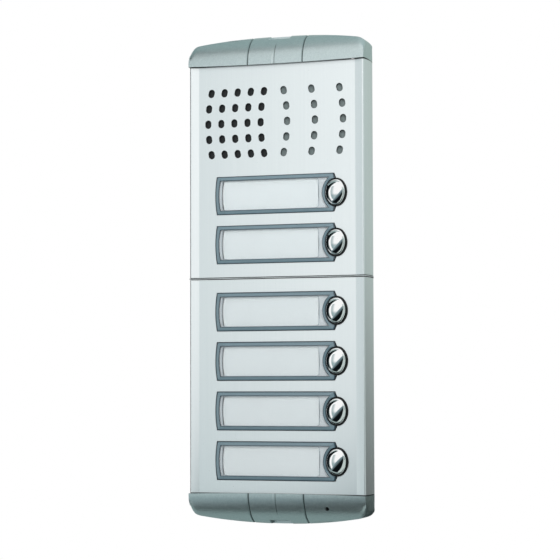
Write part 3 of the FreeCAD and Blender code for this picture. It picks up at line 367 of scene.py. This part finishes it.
# The hulls that bound a cap.
CAP_FRONT = 23.3 * MM
CAP_TOP = 132.5 * MM
CAP_ROUND = 16.99 * MM
CAP_BOW = 265.1 * MM
CAP_WIDTH = 51.2 * MM
CAP_JOINT = 0.25 * MM
CAP_SIDE = 23.44 * MM
PLAN_RADIUS = 36.4 * MM
PLAN_MIDDLE = np.array([14.72, -12.76]) * MM

# The rounded form of its ends, which start at ENDS_FROM from the middle.
FULL_SIDE = 60.0 * MM
CORNER_BLEND = 4.6 * MM
HULL_BLEND = 2.0 * MM
SIDE_INSET = 0.35 * MM
INSET_START = 2 * MM
BLEND_START = 2.5 * MM
RAMP = 8 * MM
CRISP_SHARE = 0.12
ENDS_FROM = 36 * MM
WALL_DEPTH = 2 * MM

# Where the ends are cut into a net: across, up and deep.
NET_FROM = 37 * MM
NET_ACROSS = np.array([38, 41, 43, 44.5, 46, 47, 48, 49, 50]) * MM
NET_UP = np.arange(117.0, 132.3, 1.0) * MM
NET_DEEP = np.arange(-22.6, -0.5, 1.4) * MM

# The finish: two grooves, then two painted crease lines, one of shade and one of highlight, each
# with its place, top and tone.
GROOVES = 15.6 * MM
PAINTED_CREASES = (
    (-0.3 * MM, 11.5 * MM, tone(66, 80, 82)),
    (-1.5 * MM, 5.5 * MM, tone(240, 248, 248)),
)


def soft_max(first, second, blend):
    """The larger value, plus (blend - |difference|)^2 / (4 blend) where the two are that close."""
    near = np.maximum(blend - np.abs(first - second), 0)
    return np.maximum(first, second) + near**2 / (4 * blend)


def cap_depth(points, side_radius, inset, hull_blend, blend):
    """How far points lie outside a cap's outer surface, negative inside it.

    The surface is where four hulls meet: the quarter round seen from the side, the bowed end and
    the tapering side seen from the front, and the convex side seen from above. Each hull's value is
    the distance from its circle's centre less its radius. The two sides meet in a soft maximum over
    `hull_blend`, ends and sides in one over `blend`, which is small at the joint, where the edge
    beside the front is crisp, and grows over RAMP. `side_radius` is the tapering side's radius.
    Behind the front the sides come in by `inset`.
    """
    x, y, z = np.abs(points[:, 0]), points[:, 1], np.abs(points[:, 2])
    above = z - PLATE_END
    quarter = np.hypot(y + CAP_FRONT - CAP_ROUND, above) - CAP_ROUND
    round_end = np.where(above > 0, quarter, -y - CAP_FRONT)
    round_end = np.where(y > CAP_ROUND - CAP_FRONT, above - CAP_ROUND, round_end)
    bowed_end = np.hypot(x, z - CAP_TOP + CAP_BOW) - CAP_BOW
    across, rise = x - CAP_WIDTH + side_radius, np.maximum(above - CAP_JOINT, 0)
    taper = np.hypot(across, rise) - side_radius
    plan = np.hypot(x - PLAN_MIDDLE[0], y - PLAN_MIDDLE[1]) - PLAN_RADIUS
    behind = np.clip((y + CAP_FRONT - INSET_START) / RAMP, 0, 1)
    sides = soft_max(taper, plan, hull_blend) + inset * behind
    share = np.clip((above - BLEND_START) / RAMP, CRISP_SHARE, 1)
    return soft_max(np.maximum(round_end, bowed_end), sides, blend * share)


def round_corners(surface):
    """Moves a cap's walls to the rounded form: each point keeps its own depth below the surface.

    The corners are first cut into a fine net. A point then steps along the gradient of the depth,
    p - (depth(p) - first depth) * g / |g|^2, four times.
    """
    cuts = [((x, 0, 0), (1, 0, 0)) for x in (*NET_ACROSS, *-NET_ACROSS)]
    top = 1 if max(vertex.co.z for vertex in surface.verts) > 0 else -1
    cuts += [((0, 0, top * z), (0, 0, 1)) for z in NET_UP]
    cuts += [((0, y, 0), (0, 1, 0)) for y in NET_DEEP]
    step, no_blend = 0.001 * MM, 1e-6 * MM
    for point, way in cuts:
        ends = [face for face in surface.faces if abs(face.calc_center_median().x) > NET_FROM or way[0]]
        cut = {*ends, *(edge for face in ends for edge in face.edges)}
        cut |= {vertex for face in ends for vertex in face.verts}
        bmesh.ops.bisect_plane(surface, geom=list(cut), plane_co=point, plane_no=way, dist=step)
    points = np.array([vertex.co for vertex in surface.verts])
    first = cap_depth(points, CAP_SIDE, 0, no_blend, no_blend)
    moving = (first > -WALL_DEPTH) & (np.abs(points[:, 0]) > ENDS_FROM)
    moved = points.copy()
    rounded = (FULL_SIDE, SIDE_INSET, HULL_BLEND, CORNER_BLEND)
    for _ in range(4):
        slope = np.stack([
            cap_depth(moved + nudge, *rounded) - cap_depth(moved - nudge, *rounded)
            for nudge in np.eye(3) * step
        ], -1) / (2 * step)
        change = (cap_depth(moved, *rounded) - first) / np.sum(slope**2, axis=1)
        moved[moving] -= (change[:, None] * slope)[moving]
    for vertex, place in zip(surface.verts, moved):
        vertex.co = place


def cast_coat():
    """Silver-grey coat: a fine cast texture and metallic flakes, with painted shade in the two grooves.

    The painted crease lines lie near the middle. The rim that faces the panel's middle gets painted
    shade: there the surface's upward slant times its height is well below zero.
    """
    finish = Finish("cast_coat", {"Metallic": 0.95})
    flakes = finish.noise(0.5 * MM)
    texture = finish.noise(1.4 * MM, 4.0)
    colour = finish.mix(flakes * 0.6 + texture * 0.4, tone(180, 196, 197), tone(230, 242, 242))
    # Painted shade in the two grooves.
    groove_shade = 1 - finish.share(abs(abs(finish.axis("X")) - GROOVES), 0.2 * MM, 0.45 * MM)
    colour = finish.mix(groove_shade * 0.85, colour, tone(40, 50, 52))
    height = abs(finish.axis("Z")) - PLATE_END
    # Painted crease lines: a dark one of shade and a bright one of highlight.
    for middle, top, shade in PAINTED_CREASES:
        line = 1 - finish.share(abs(finish.axis("X") - middle), 0.1 * MM, 0.3 * MM)
        below = 1 - finish.share(height, top * 0.8, top)
        colour = finish.mix(line * below * 0.7, colour, shade)
    # Painted shade on the rim that faces the panel's middle.
    facing = finish.node("NewGeometry", {}, {}, "Normal")
    upward = finish.node("SeparateXYZ", {}, {0: facing}, "Z")
    rim_shade = finish.share(upward * finish.axis("Z"), -60 * MM, -90 * MM)
    colour = finish.mix(rim_shade * 0.9, colour, tone(30, 38, 40))
    finish.feed(finish.shader, {"Base Color": colour, "Roughness": 0.3 + texture * 0.14})
    finish.relief(texture * 0.6 + flakes * 0.4, 0.07 * MM)
    return finish


coat = cast_coat()
for node in ("top_end_cap", "bottom_end_cap"):
    surface = clean_copy(node)
    round_corners(surface)
    fit(broken_edges(f"{node}_casting", surface, 0.3 * MM, 3), coat, node, "cap_metal", node)

# Name windows ---------------------------------------------------------------------------------
# Each is one clear acrylic moulding: a bevelled border, tinted blue-grey from behind, round a
# plain pane with fine ribs on its back that hold the card. It drops in from behind the plate.

RING_ENDS = 5.1 * MM
FLANGE = 1.1 * MM
BORDER = 2.2 * MM
RING_BORDER = 1.6 * MM
BEVEL = 0.6 * MM
LEFT_BULGE = 0.9 * MM
SLANT = 1.2 * MM
FIT_GAP = 0.15 * MM
CORNER = 0.7 * MM
NOTCH_ANGLE = 0.54 * math.pi
NOTCH_LEAD = 0.15 * MM
SIDE_POINTS = 16
BOW = 0.6 * MM
RIB = 0.3 * MM
PANE_FRONT = 0.06 * MM
PANE_BACK = 0.6 * MM
HOLDER_RISE = 0.35 * MM
SEAT_GAP = 0.02 * MM
KEYS = range(1, 7)


def key_oval(node, grow, angles):
    """Points (x, z) of a ring's four-centre oval, grown by `grow`.

    A point's outward normal makes the angle t with +X. Near the top and bottom it lies on an end
    arc: (0, reach) + end radius * (cos t, sin t). Elsewhere it lies on a side arc about a centre
    across the middle: (-shift, 0) + (shift + half width) * (cos t, sin t).
    """
    low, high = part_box(node)
    half_width, half_height = (high.x - low.x) / 2, (high.z - low.z) / 2
    reach = half_height - RING_ENDS
    wide = (half_width**2 + reach**2 - RING_ENDS**2) / (2 * (half_width - RING_ENDS))
    shift = wide - half_width
    on_end = np.abs(np.sin(angles)) > math.sin(math.atan2(reach, shift))
    centre_x = np.where(on_end, 0, -np.sign(np.cos(angles)) * shift)
    centre_z = np.where(on_end, np.sign(np.sin(angles)) * reach, 0)
    radius = np.where(on_end, RING_ENDS, wide) + grow
    x = (low.x + high.x) / 2 + centre_x + radius * np.cos(angles)
    z = (low.z + high.z) / 2 + centre_z + radius * np.sin(angles)
    return np.stack([x, z], -1)


def side(start, end, count=SIDE_POINTS, bulge=0.0):
    """`count` points from start up to end, pushed right by bulge * (1 - u * u), u from -1 to 1."""
    share = np.linspace(0, 1, count, endpoint=False)[:, None]
    start, end = np.array(start), np.array(end)
    way = (end - start) / np.linalg.norm(end - start)
    pushed = np.array([way[1], -way[0]]) * bulge * (1 - (2 * share - 1) ** 2)
    return start + (end - start) * share + pushed


def corner(centre, radius, start, count=6):
    """`count` points of a quarter turn from the angle `start`: centre + radius * (cos t, sin t)."""
    turn = start + np.linspace(0, math.pi / 2, count)
    return np.array(centre) + radius * np.stack([np.cos(turn), np.sin(turn)], -1)


def window_edges(window, ring):
    """The outer and the inner edge of a window's border, anticlockwise, with as many points each."""
    low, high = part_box(window)
    left, right = low.x + FLANGE + LEFT_BULGE, high.x - FLANGE - SLANT
    bottom, top = low.z + FLANGE, high.z - FLANGE
    notch = key_oval(ring, FIT_GAP, np.linspace(2 * math.pi - NOTCH_ANGLE, NOTCH_ANGLE, 48))
    lead = right + NOTCH_LEAD
    outer = [
        side((left + CORNER, bottom), (right - CORNER, bottom)),
        corner((right - CORNER, bottom + CORNER), CORNER, -math.pi / 2),
        side((lead, bottom + 1.4 * CORNER), notch[0], 3), notch,
        side(notch[-1], (lead, top - 1.4 * CORNER), 4)[1:],
        corner((right - CORNER, top - CORNER), CORNER, 0),
        side((right - CORNER, top), (left + CORNER, top)),
        corner((left + CORNER, top - CORNER), CORNER, math.pi / 2),
        side((left, top - CORNER), (left, bottom + CORNER), SIDE_POINTS, LEFT_BULGE)[1:],
        corner((left + CORNER, bottom + CORNER), CORNER, math.pi),
    ]
    left, bottom, top, small = left + BORDER, bottom + BORDER, top - BORDER, CORNER / 2
    half = np.linspace(0, math.pi / 2, 400)
    reach = key_oval(ring, FIT_GAP + RING_BORDER, math.pi - half)[:, 1] - (bottom + top) / 2
    swing = float(np.interp((top - bottom) / 2, reach, half))
    sweep = key_oval(ring, FIT_GAP + RING_BORDER, np.linspace(math.pi + swing, math.pi - swing, 66))
    inner = [
        side((left + small, bottom), sweep[0]), sweep,
        side(sweep[-1], (left + small, top), SIDE_POINTS + 1)[1:],
        corner((left + small, top - small), small, math.pi / 2),
        side((left, top - small), (left, bottom + small), SIDE_POINTS, LEFT_BULGE)[1:],
        corner((left + small, bottom + small), small, math.pi),
    ]
    return np.concatenate(outer), np.concatenate(inner)


def grid_faces(rows, columns, closed=False):
    """Quads over rows of points, where point c of row r is number r * columns + c.

    Each row is closed on itself, and so are the columns if `closed`.
    """
    row = np.arange(rows if closed else rows - 1)[:, None]
    column = np.arange(columns)[None, :]
    next_row, next_column = (row + 1) % rows, (column + 1) % columns
    corners = [
        row * columns + column, row * columns + next_column,
        next_row * columns + next_column, next_row * columns + column,
    ]
    return np.stack(np.broadcast_arrays(*corners), -1).reshape(-1, 4).tolist()


def capped_grid(rows, columns):
    """Quads over rows of points, each closed on itself, and one face over each end row."""
    last = range(rows * columns - 1, (rows - 1) * columns - 1, -1)
    return [*grid_faces(rows, columns), list(range(columns)), list(last)]


def shell(name, points, faces, across=None):
    """A closed mesh, its faces turned outwards and smooth where they turn by less than 35 degrees.

    `across` gives each point a value that the mesh keeps as an attribute.
    """
    data = bpy.data.meshes.new(name)
    data.from_pydata(points.reshape(-1, 3).tolist(), [], faces)
    surface = bmesh.new()
    surface.from_mesh(data)
    bmesh.ops.recalc_face_normals(surface, faces=surface.faces)
    for face in surface.faces:
        face.smooth = True
    surface.to_mesh(data)
    surface.free()
    data.set_sharp_from_angle(angle=math.radians(35))
    if across is not None:
        data.attributes.new("across", "FLOAT", "POINT").data.foreach_set("value", across.ravel())
    piece = bpy.data.objects.new(name, data)
    bpy.context.scene.collection.objects.link(piece)
    return piece


def at_front(outline, front):
    """An outline's (x, z) points as (x, y, z) points on the plane y = front."""
    return np.stack([outline[:, 0], np.full(len(outline), front), outline[:, 1]], -1)


def strip_shell(name, outer, inner, profile):
    """A closed band between two edges: a (share, front, across) profile is carried round them."""
    rows = np.stack([at_front(outer + (inner - outer) * share, front) for share, front, _ in profile])
    across = np.repeat([value for _, _, value in profile], len(outer)).astype(float)
    return shell(name, rows, grid_faces(len(rows), len(outer), closed=True), across)


def edge_lined(name, line, body, stops):
    """Clear plastic over a tint, with painted shade: the darker `line` along the band's edges gives
    way to `body` by the stops across the band.
    """
    finish = Finish(name, {"Roughness": 0.16, "Coat Weight": 0.5, "Coat Roughness": 0.05})
    across = finish.node("Attribute", {"attribute_name": "across"}, {}, "Fac")
    mask = finish.node("ValToRGB", {"stops": stops}, {0: across})
    clouded = finish.mix(finish.noise(5 * MM), shaded(body, 0.86), body)
    finish.feed(finish.shader, {"Base Color": finish.mix(mask, line, clouded)})
    finish.relief(finish.noise(2 * MM), 0.01 * MM)
    return finish


def clear_pane():
    """Clear acrylic: see-through, but for the share that its gloss and a faint haze turn back."""
    finish = Finish("clear_pane", {"Base Color": tone(232, 238, 240), "Roughness": 0.05})
    slant = finish.node("LayerWeight", {}, {"Blend": 0.5}, "Facing")
    finish.feed(finish.shader, {"Alpha": slant * slant * 0.35 + finish.noise(10 * MM) * 0.02 + 0.05})
    return finish


def card_opening(edge, low, high):
    """The holder's opening for a card: each point of an edge, brought in to a rounded rectangle.

    A point p goes to q + CORNER * (p - q) / |p - q|, where q is p held within the rectangle less
    CORNER all round. The left and right sides then bow out by BOW * (1 - v * v), v from -1 to 1.
    """
    middle = np.array([low.x + high.x, low.z + high.z]) / 2
    half = np.array([high.x - low.x, high.z - low.z]) / 2
    held = np.clip(edge - middle, CORNER - half, half - CORNER)
    away = edge - middle - held
    opening = held + CORNER * away / np.linalg.norm(away, axis=1, keepdims=True)
    height = opening[:, 1] / half[1]
    on_side = np.abs(held[:, 0]) > half[0] - 1.01 * CORNER
    opening[:, 0] += np.sign(opening[:, 0]) * on_side * BOW * (1 - height**2)
    return opening + middle


def inset(outline, width):
    """An outline brought in by `width` along each point's own normal, found from its neighbours."""
    along = np.roll(outline, -1, axis=0) - np.roll(outline, 1, axis=0)
    normal = np.stack([-along[:, 1], along[:, 0]], -1) / np.linalg.norm(along, axis=1, keepdims=True)
    return outline + normal * width


# Painted shade: the border's edges take the darker line colour.
tint = edge_lined("border_tint", tone(56, 74, 84), tone(118, 143, 153), [(0.05, 0), (0.2, 1)])
holder_finish = edge_lined("card_holder", tone(176, 191, 198), tone(222, 231, 235), [(0.1, 0), (0.5, 1)])
pane_finish = clear_pane()
for key in KEYS:
    window, ring = f"name_window_{key}", f"bezel_ring_{key}"
    window_low, window_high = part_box(window)
    front, back = window_low.y, window_high.y
    card_low, card_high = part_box(f"name_card_{key}")
    outer, inner = window_edges(window, ring)
    border = strip_shell(f"window_border_{key}", outer, inner, [
        (0.0, back, 0.0), (0.0, front + BEVEL, 0.0), (0.04, front + BEVEL - 0.05 * MM, 0.03),
        (0.12, front + BEVEL * 0.8, 0.06), (0.5, front + BEVEL * 0.35, 0.7),
        (0.9, front + 0.05 * MM, 0.06), (0.97, front + 0.03 * MM, 0.03),
        (1.0, front + PANE_FRONT, 0.0), (1.0, back, 0.0),
    ])
    fit(border, tint, "panel", "window_clear", window)
    sheets = np.stack([at_front(inner, front + PANE_FRONT), at_front(inner, front + PANE_BACK)])
    pane = shell(f"window_pane_{key}", sheets, capped_grid(2, len(inner)))
    fit(pane, pane_finish, "panel", "window_clear")
    face, seat = card_low.y - HOLDER_RISE, card_low.y - SEAT_GAP
    opening = card_opening(inner, card_low, card_high)
    holder = strip_shell(f"card_holder_{key}", inner, opening, [
        (0.0, seat, 1.0), (0.0, face, 1.0), (0.5, face, 1.0), (1.0, face, 1.0), (1.0, seat, 1.0),
    ])
    fit(holder, holder_finish, "panel", "window_clear")
    # The ribs take the holder's darker line colour: painted shade that draws them as grey lines.
    rib = strip_shell(f"card_rib_{key}", inset(opening, -RIB / 2), inset(opening, RIB / 2), [
        (0.0, seat, 0.0), (0.0, face - 0.08 * MM, 0.0), (0.5, face - 0.12 * MM, 0.1),
        (1.0, face - 0.08 * MM, 0.1), (1.0, seat, 0.5),
    ])
    fit(rib, holder_finish, "panel", "window_clear")

# Name cards -----------------------------------------------------------------------------------
# Blank paper cards, held flat between the ribs behind the panes.


def paper():
    """Uncoated white card: short fibres show as a faint cloud."""
    finish = Finish("card_paper", {"Roughness": 0.85})
    fibres = finish.noise(1.5 * MM, 6.0, (1, 1, 2.5))
    colour = finish.mix(fibres, tone(232, 241, 243), tone(242, 249, 250))
    finish.feed(finish.shader, {"Base Color": colour})
    finish.relief(fibres, 0.02 * MM)
    return finish


paint(paper(), *(f"name_card_{key}" for key in KEYS))

# Bezel rings ----------------------------------------------------------------------------------
# Gloss black moulded collars, each rounded over at the front, between a window and its button.

RING_WALL = 0.55 * MM
half_wall = RING_WALL / 2
less_gloss = {"Specular IOR Level": 0.35}
ring_finish = moulded("ring_black", tone(14, 14, 14), 0.28, relief=0.01 * MM, **less_gloss)
turn = np.linspace(0, 2 * math.pi, 96, endpoint=False)
lip = np.linspace(0, math.pi, 9)
for key in KEYS:
    ring = f"bezel_ring_{key}"
    low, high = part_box(ring)
    offsets = -half_wall + half_wall * np.cos(lip)
    fronts = low.y + half_wall * (1 - np.sin(lip))
    stations = [(0.0, high.y), *zip(offsets, fronts), (-RING_WALL, high.y)]
    rows = np.stack([at_front(key_oval(ring, offset, turn), y) for offset, y in stations])
    collar = shell(f"bezel_collar_{key}", rows, grid_faces(len(rows), len(turn), closed=True))
    fit(collar, ring_finish, "panel", "ring_plastic", ring)

# Push buttons ---------------------------------------------------------------------------------
# Chrome-plated caps with a spherical crown and a small rolled rim. The shank goes down through
# the ring to a flange and a plunger; here the cap's skirt runs straight back in their place, and
# the solid is hidden.

BUTTON_GAP = 0.12 * MM
DOME = 3.1 * MM
ROLL = 0.55 * MM
CROWN_SHARE = 0.9


def chrome():
    """Polished chrome plate, with the slightest orange peel."""
    finish = Finish("polished_chrome", {"Base Color": tone(246, 247, 247), "Metallic": 1.0})
    peel = finish.noise(4 * MM)
    finish.feed(finish.shader, {"Roughness": 0.03 + peel * 0.04})
    finish.relief(peel, 0.006 * MM)
    return finish


def button_rows(rim_shade, centre, half_length, front, back):
    """Rows of points over the crown and its rolled rim, and down the skirt to `back`.

    The crown is a sphere's: y = front + radius - sqrt(radius^2 - distance^2), and its radius is
    (half length^2 + DOME^2) / (2 * DOME). From CROWN_SHARE of the way out the rim rolls over: while
    its slope t goes from the crown's to a quarter turn, it goes out with sin t and back with -cos t.
    """
    radius = (half_length**2 + DOME**2) / (2 * DOME)
    shares = np.sin(np.linspace(0.02, 1, 26) * math.pi / 2) * CROWN_SHARE
    outlines = centre + (rim_shade - centre) * shares[:, None, None]
    depth = radius - np.sqrt(radius**2 - np.sum((outlines - centre) ** 2, axis=2))
    crown = np.stack([outlines[..., 0], front + depth, outlines[..., 1]], -1)
    slope = math.asin(half_length * CROWN_SHARE / radius)
    turned = np.linspace(slope, math.pi / 2, 8)[1:, None]
    flare = (rim_shade - centre) * (1 - CROWN_SHARE) / (1 - math.sin(slope))
    out = np.sin(turned) - math.sin(slope)
    roll = np.stack([
        crown[-1, :, 0] + flare[:, 0] * out,
        crown[-1, :, 1] + ROLL * (math.cos(slope) - np.cos(turned)) / math.cos(slope),
        crown[-1, :, 2] + flare[:, 1] * out,
    ], -1)
    skirt = roll[-1].copy()
    skirt[:, 1] = back
    return np.concatenate([crown, roll, [skirt]])


plating = chrome()
for key in KEYS:
    button, ring = f"push_button_{key}", f"bezel_ring_{key}"
    low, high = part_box(button)
    ring_low, ring_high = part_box(ring)
    centre = np.array([ring_low.x + ring_high.x, ring_low.z + ring_high.z]) / 2
    inside = RING_WALL + BUTTON_GAP
    half_length = (ring_high.z - ring_low.z) / 2 - inside
    rows = button_rows(key_oval(ring, -inside, turn), centre, half_length, low.y, high.y)
    cap = shell(f"button_cap_{key}", rows, capped_grid(len(rows), len(turn)))
    fit(cap, plating, button, "button_chrome", button)

# Studio ---------------------------------------------------------------------------------------
# A pale floor below the panel, a white surround, a soft lamp high in front and a weaker one at
# the left. Cards that only gloss shows stand round the panel, so that its metal has a form to mirror.

white = (1.0, 1.0, 1.0, 1.0)
black = (0.0, 0.0, 0.0, 1.0)

world = bpy.data.worlds.new("surround")
bpy.context.scene.world = world
world.use_nodes = True
sky = Nodes(world.node_tree)
rays = ("Is Camera Ray", "Is Glossy Ray", "Is Transmission Ray")
shown = sum(sky.node("LightPath", {}, {}, ray) for ray in rays)
strength = sky.node("MapRange", {}, {"Value": shown, "To Min": 0.5, "To Max": 1.0})
sky.feed(sky.tree.nodes["Background"], {"Color": white, "Strength": strength})


def flat_piece(name, corners, finish):
    """A flat piece of the studio, through its corners."""
    data = bpy.data.meshes.new(name)
    data.from_pydata(corners, [], [tuple(range(len(corners)))])
    data.materials.append(finish.material)
    piece = bpy.data.objects.new(name, data)
    bpy.context.scene.collection.objects.link(piece)
    return piece


def card(name, corners, colour, fade=None):
    """A card that glows in a colour, and that only gloss shows.

    `fade` is a direction, where the colour starts and ends along it, and the colour it starts from.
    """
    finish = Finish(name, {
        "Base Color": black, "Roughness": 0.9, "Specular IOR Level": 0.0,
        "Emission Color": colour, "Emission Strength": 1.0,
    })
    if fade:
        direction, start, end, first = fade
        sockets = {0: finish.place(), 1: direction}
        along = finish.node("VectorMath", {"operation": "DOT_PRODUCT"}, sockets, "Value")
        faded = finish.mix(finish.share(along, start, end), first, colour)
        finish.feed(finish.shader, {"Emission Color": faded})
    piece = flat_piece(name, corners, finish)
    piece.visible_camera = piece.visible_diffuse = piece.visible_shadow = False
    piece.visible_transmission = False
    return finish


def upright(y, *corners):
    """Corners (x, z) of a card that stands parallel to the panel."""
    return [(x, y, z) for x, z in corners]


floor_z = cad_low.z - 0.35
floor_corners = [(-2, -2, floor_z), (2, -2, floor_z), (2, 1.2, floor_z), (-2, 1.2, floor_z)]
floor_grey = tone(236, 237, 238)
floor_finish = Finish("floor", {"Base Color": floor_grey, "Roughness": 0.9, "Emission Strength": 0.4})
seen = floor_finish.node("LightPath", {}, {}, "Is Camera Ray")
floor_finish.feed(floor_finish.shader, {"Emission Color": floor_finish.mix(seen, black, floor_grey)})
flat_piece("floor", floor_corners, floor_finish).visible_glossy = False

# Dark cards in front, which the domes and the plates' edges mirror.
card("dark_card_low", upright(
    -0.28, (-1.0, -1.16), (0.262, 0.19), (0.25, 0.0), (0.215, -0.14), (0.175, -0.28),
    (0.12, -0.42), (0.03, -0.6), (-0.1, -0.9), (-0.3, -1.4), (-1.0, -1.4),
), tone(10, 15, 18), ((0.73, 0, -0.683), 0.06, 0.16, tone(140, 162, 168)))
card("dark_card_left", upright(
    -0.281, (-0.42, -0.6), (-0.39, -0.1), (-0.39, 0.12), (-0.27, 0.33), (-0.19, 0.46),
    (-0.07, 0.8), (-0.6, 1.4), (-2, 1.4), (-2, -2.4),
), tone(12, 15, 17), ((-0.94, 0, 0.342), 0.36, 0.47, tone(112, 128, 130)))
side_grey = tone(192, 205, 202)
card("grey_card_right", upright(
    -0.285, (0.245, 0.3), (1.5, 0.7), (1.5, -1.6), (-0.3, -1.6), (-0.1, -0.9), (0.2, -0.1),
), side_grey)

# A wide veil farther off, which greys the plates' faces down and to the left.
veil = card("veil", upright(-0.9, (-1.4, -0.9), (0.6, -0.9), (0.6, 0.9), (-1.4, 0.9)), white)
aside = veil.share(veil.axis("X"), -0.55, -0.2, "SMOOTHSTEP")
high = veil.share(veil.axis("Z"), -0.35, 0.0, "SMOOTHSTEP")
far = veil.share(veil.axis("X"), -0.66, -0.9, "SMOOTHSTEP")
near = veil.mix((0.28 + aside * 0.72) * (0.2 + high * 0.8), tone(140, 165, 169), white)
veil.feed(veil.shader, {"Emission Color": veil.mix(far, near, white)})

# Flags round the panel, which its side walls and the caps' ends mirror.
card(
    "flag_left", [(-0.9, -0.3, -1.2), (-0.9, -0.3, 1.2), (-0.9, 0.6, 1.2), (-0.9, 0.6, -1.2)],
    tone(16, 20, 22),
)
card(
    "flag_right", [(1.5, -0.3, -1.2), (1.5, -0.3, 1.2), (1.5, 0.6, 1.2), (1.5, 0.6, -1.2)],
    side_grey, ((0, 0, 1), -0.25, 0.1, tone(50, 60, 58)),
)
card(
    "flag_back", [(-0.3, 0.6, 1.0), (1.5, 0.6, 1.0), (1.5, 0.6, -1.0), (-0.3, 0.6, -1.0)],
    tone(178, 191, 186), ((-0.09, 0, 1), -0.21, 0.04, tone(24, 33, 31)),
)
card(
    "flag_above", [(-0.9, -0.2, 0.7), (1.5, -0.2, 0.7), (1.5, 0.6, 0.7), (-0.9, 0.6, 0.7)],
    tone(190, 204, 204), ((1, 0, 0), -0.3, 0.3, tone(148, 168, 168)),
)
card(
    "flag_below", [(-0.9, -0.12, -0.45), (1.5, -0.12, -0.45), (1.5, 0.6, -0.45), (-0.9, 0.6, -0.45)],
    tone(44, 54, 54), ((1, 0, 0), -0.02, 0.12, tone(146, 163, 162)),
)


def lamp(name, place, target, size, power):
    """A square soft lamp at a place, turned towards a target."""
    light = bpy.data.lights.new(name, "AREA")
    light.size, light.energy = size, power
    holder = bpy.data.objects.new(name, light)
    holder.location = place
    way = np.array(target) - np.array(place)
    yaw, pitch = math.atan2(-way[0], way[1]), math.atan2(way[2], math.hypot(way[0], way[1]))
    holder.rotation_euler = (math.pi / 2 + pitch, 0, yaw)
    holder.visible_camera = holder.visible_glossy = False
    bpy.context.scene.collection.objects.link(holder)


lamp("soft_key", (0.25, -0.42, 0.36), (0.0, 0.0, 0.05), 0.3, 2.0)
lamp("soft_left", (-0.9, -0.7, 0.1), (0.0, 0.0, 0.0), 0.7, 1.0)

# Camera ---------------------------------------------------------------------------------------
# It stands to the right of the panel and a little below its middle, and looks slightly up.

camera = bpy.data.objects.new("camera", bpy.data.cameras.new("camera"))
camera.data.sensor_width, camera.data.lens = 36.0, 123.5
camera.data.clip_start, camera.data.clip_end = 0.01, 50
camera.location = (0.3321, -0.9988, -0.0564)
camera.rotation_euler = (math.radians(90 + 3.05), math.radians(0.16), math.radians(18.66))
bpy.context.scene.collection.objects.link(camera)
bpy.context.scene.camera = camera
bpy.context.scene.view_settings.view_transform = "Standard"
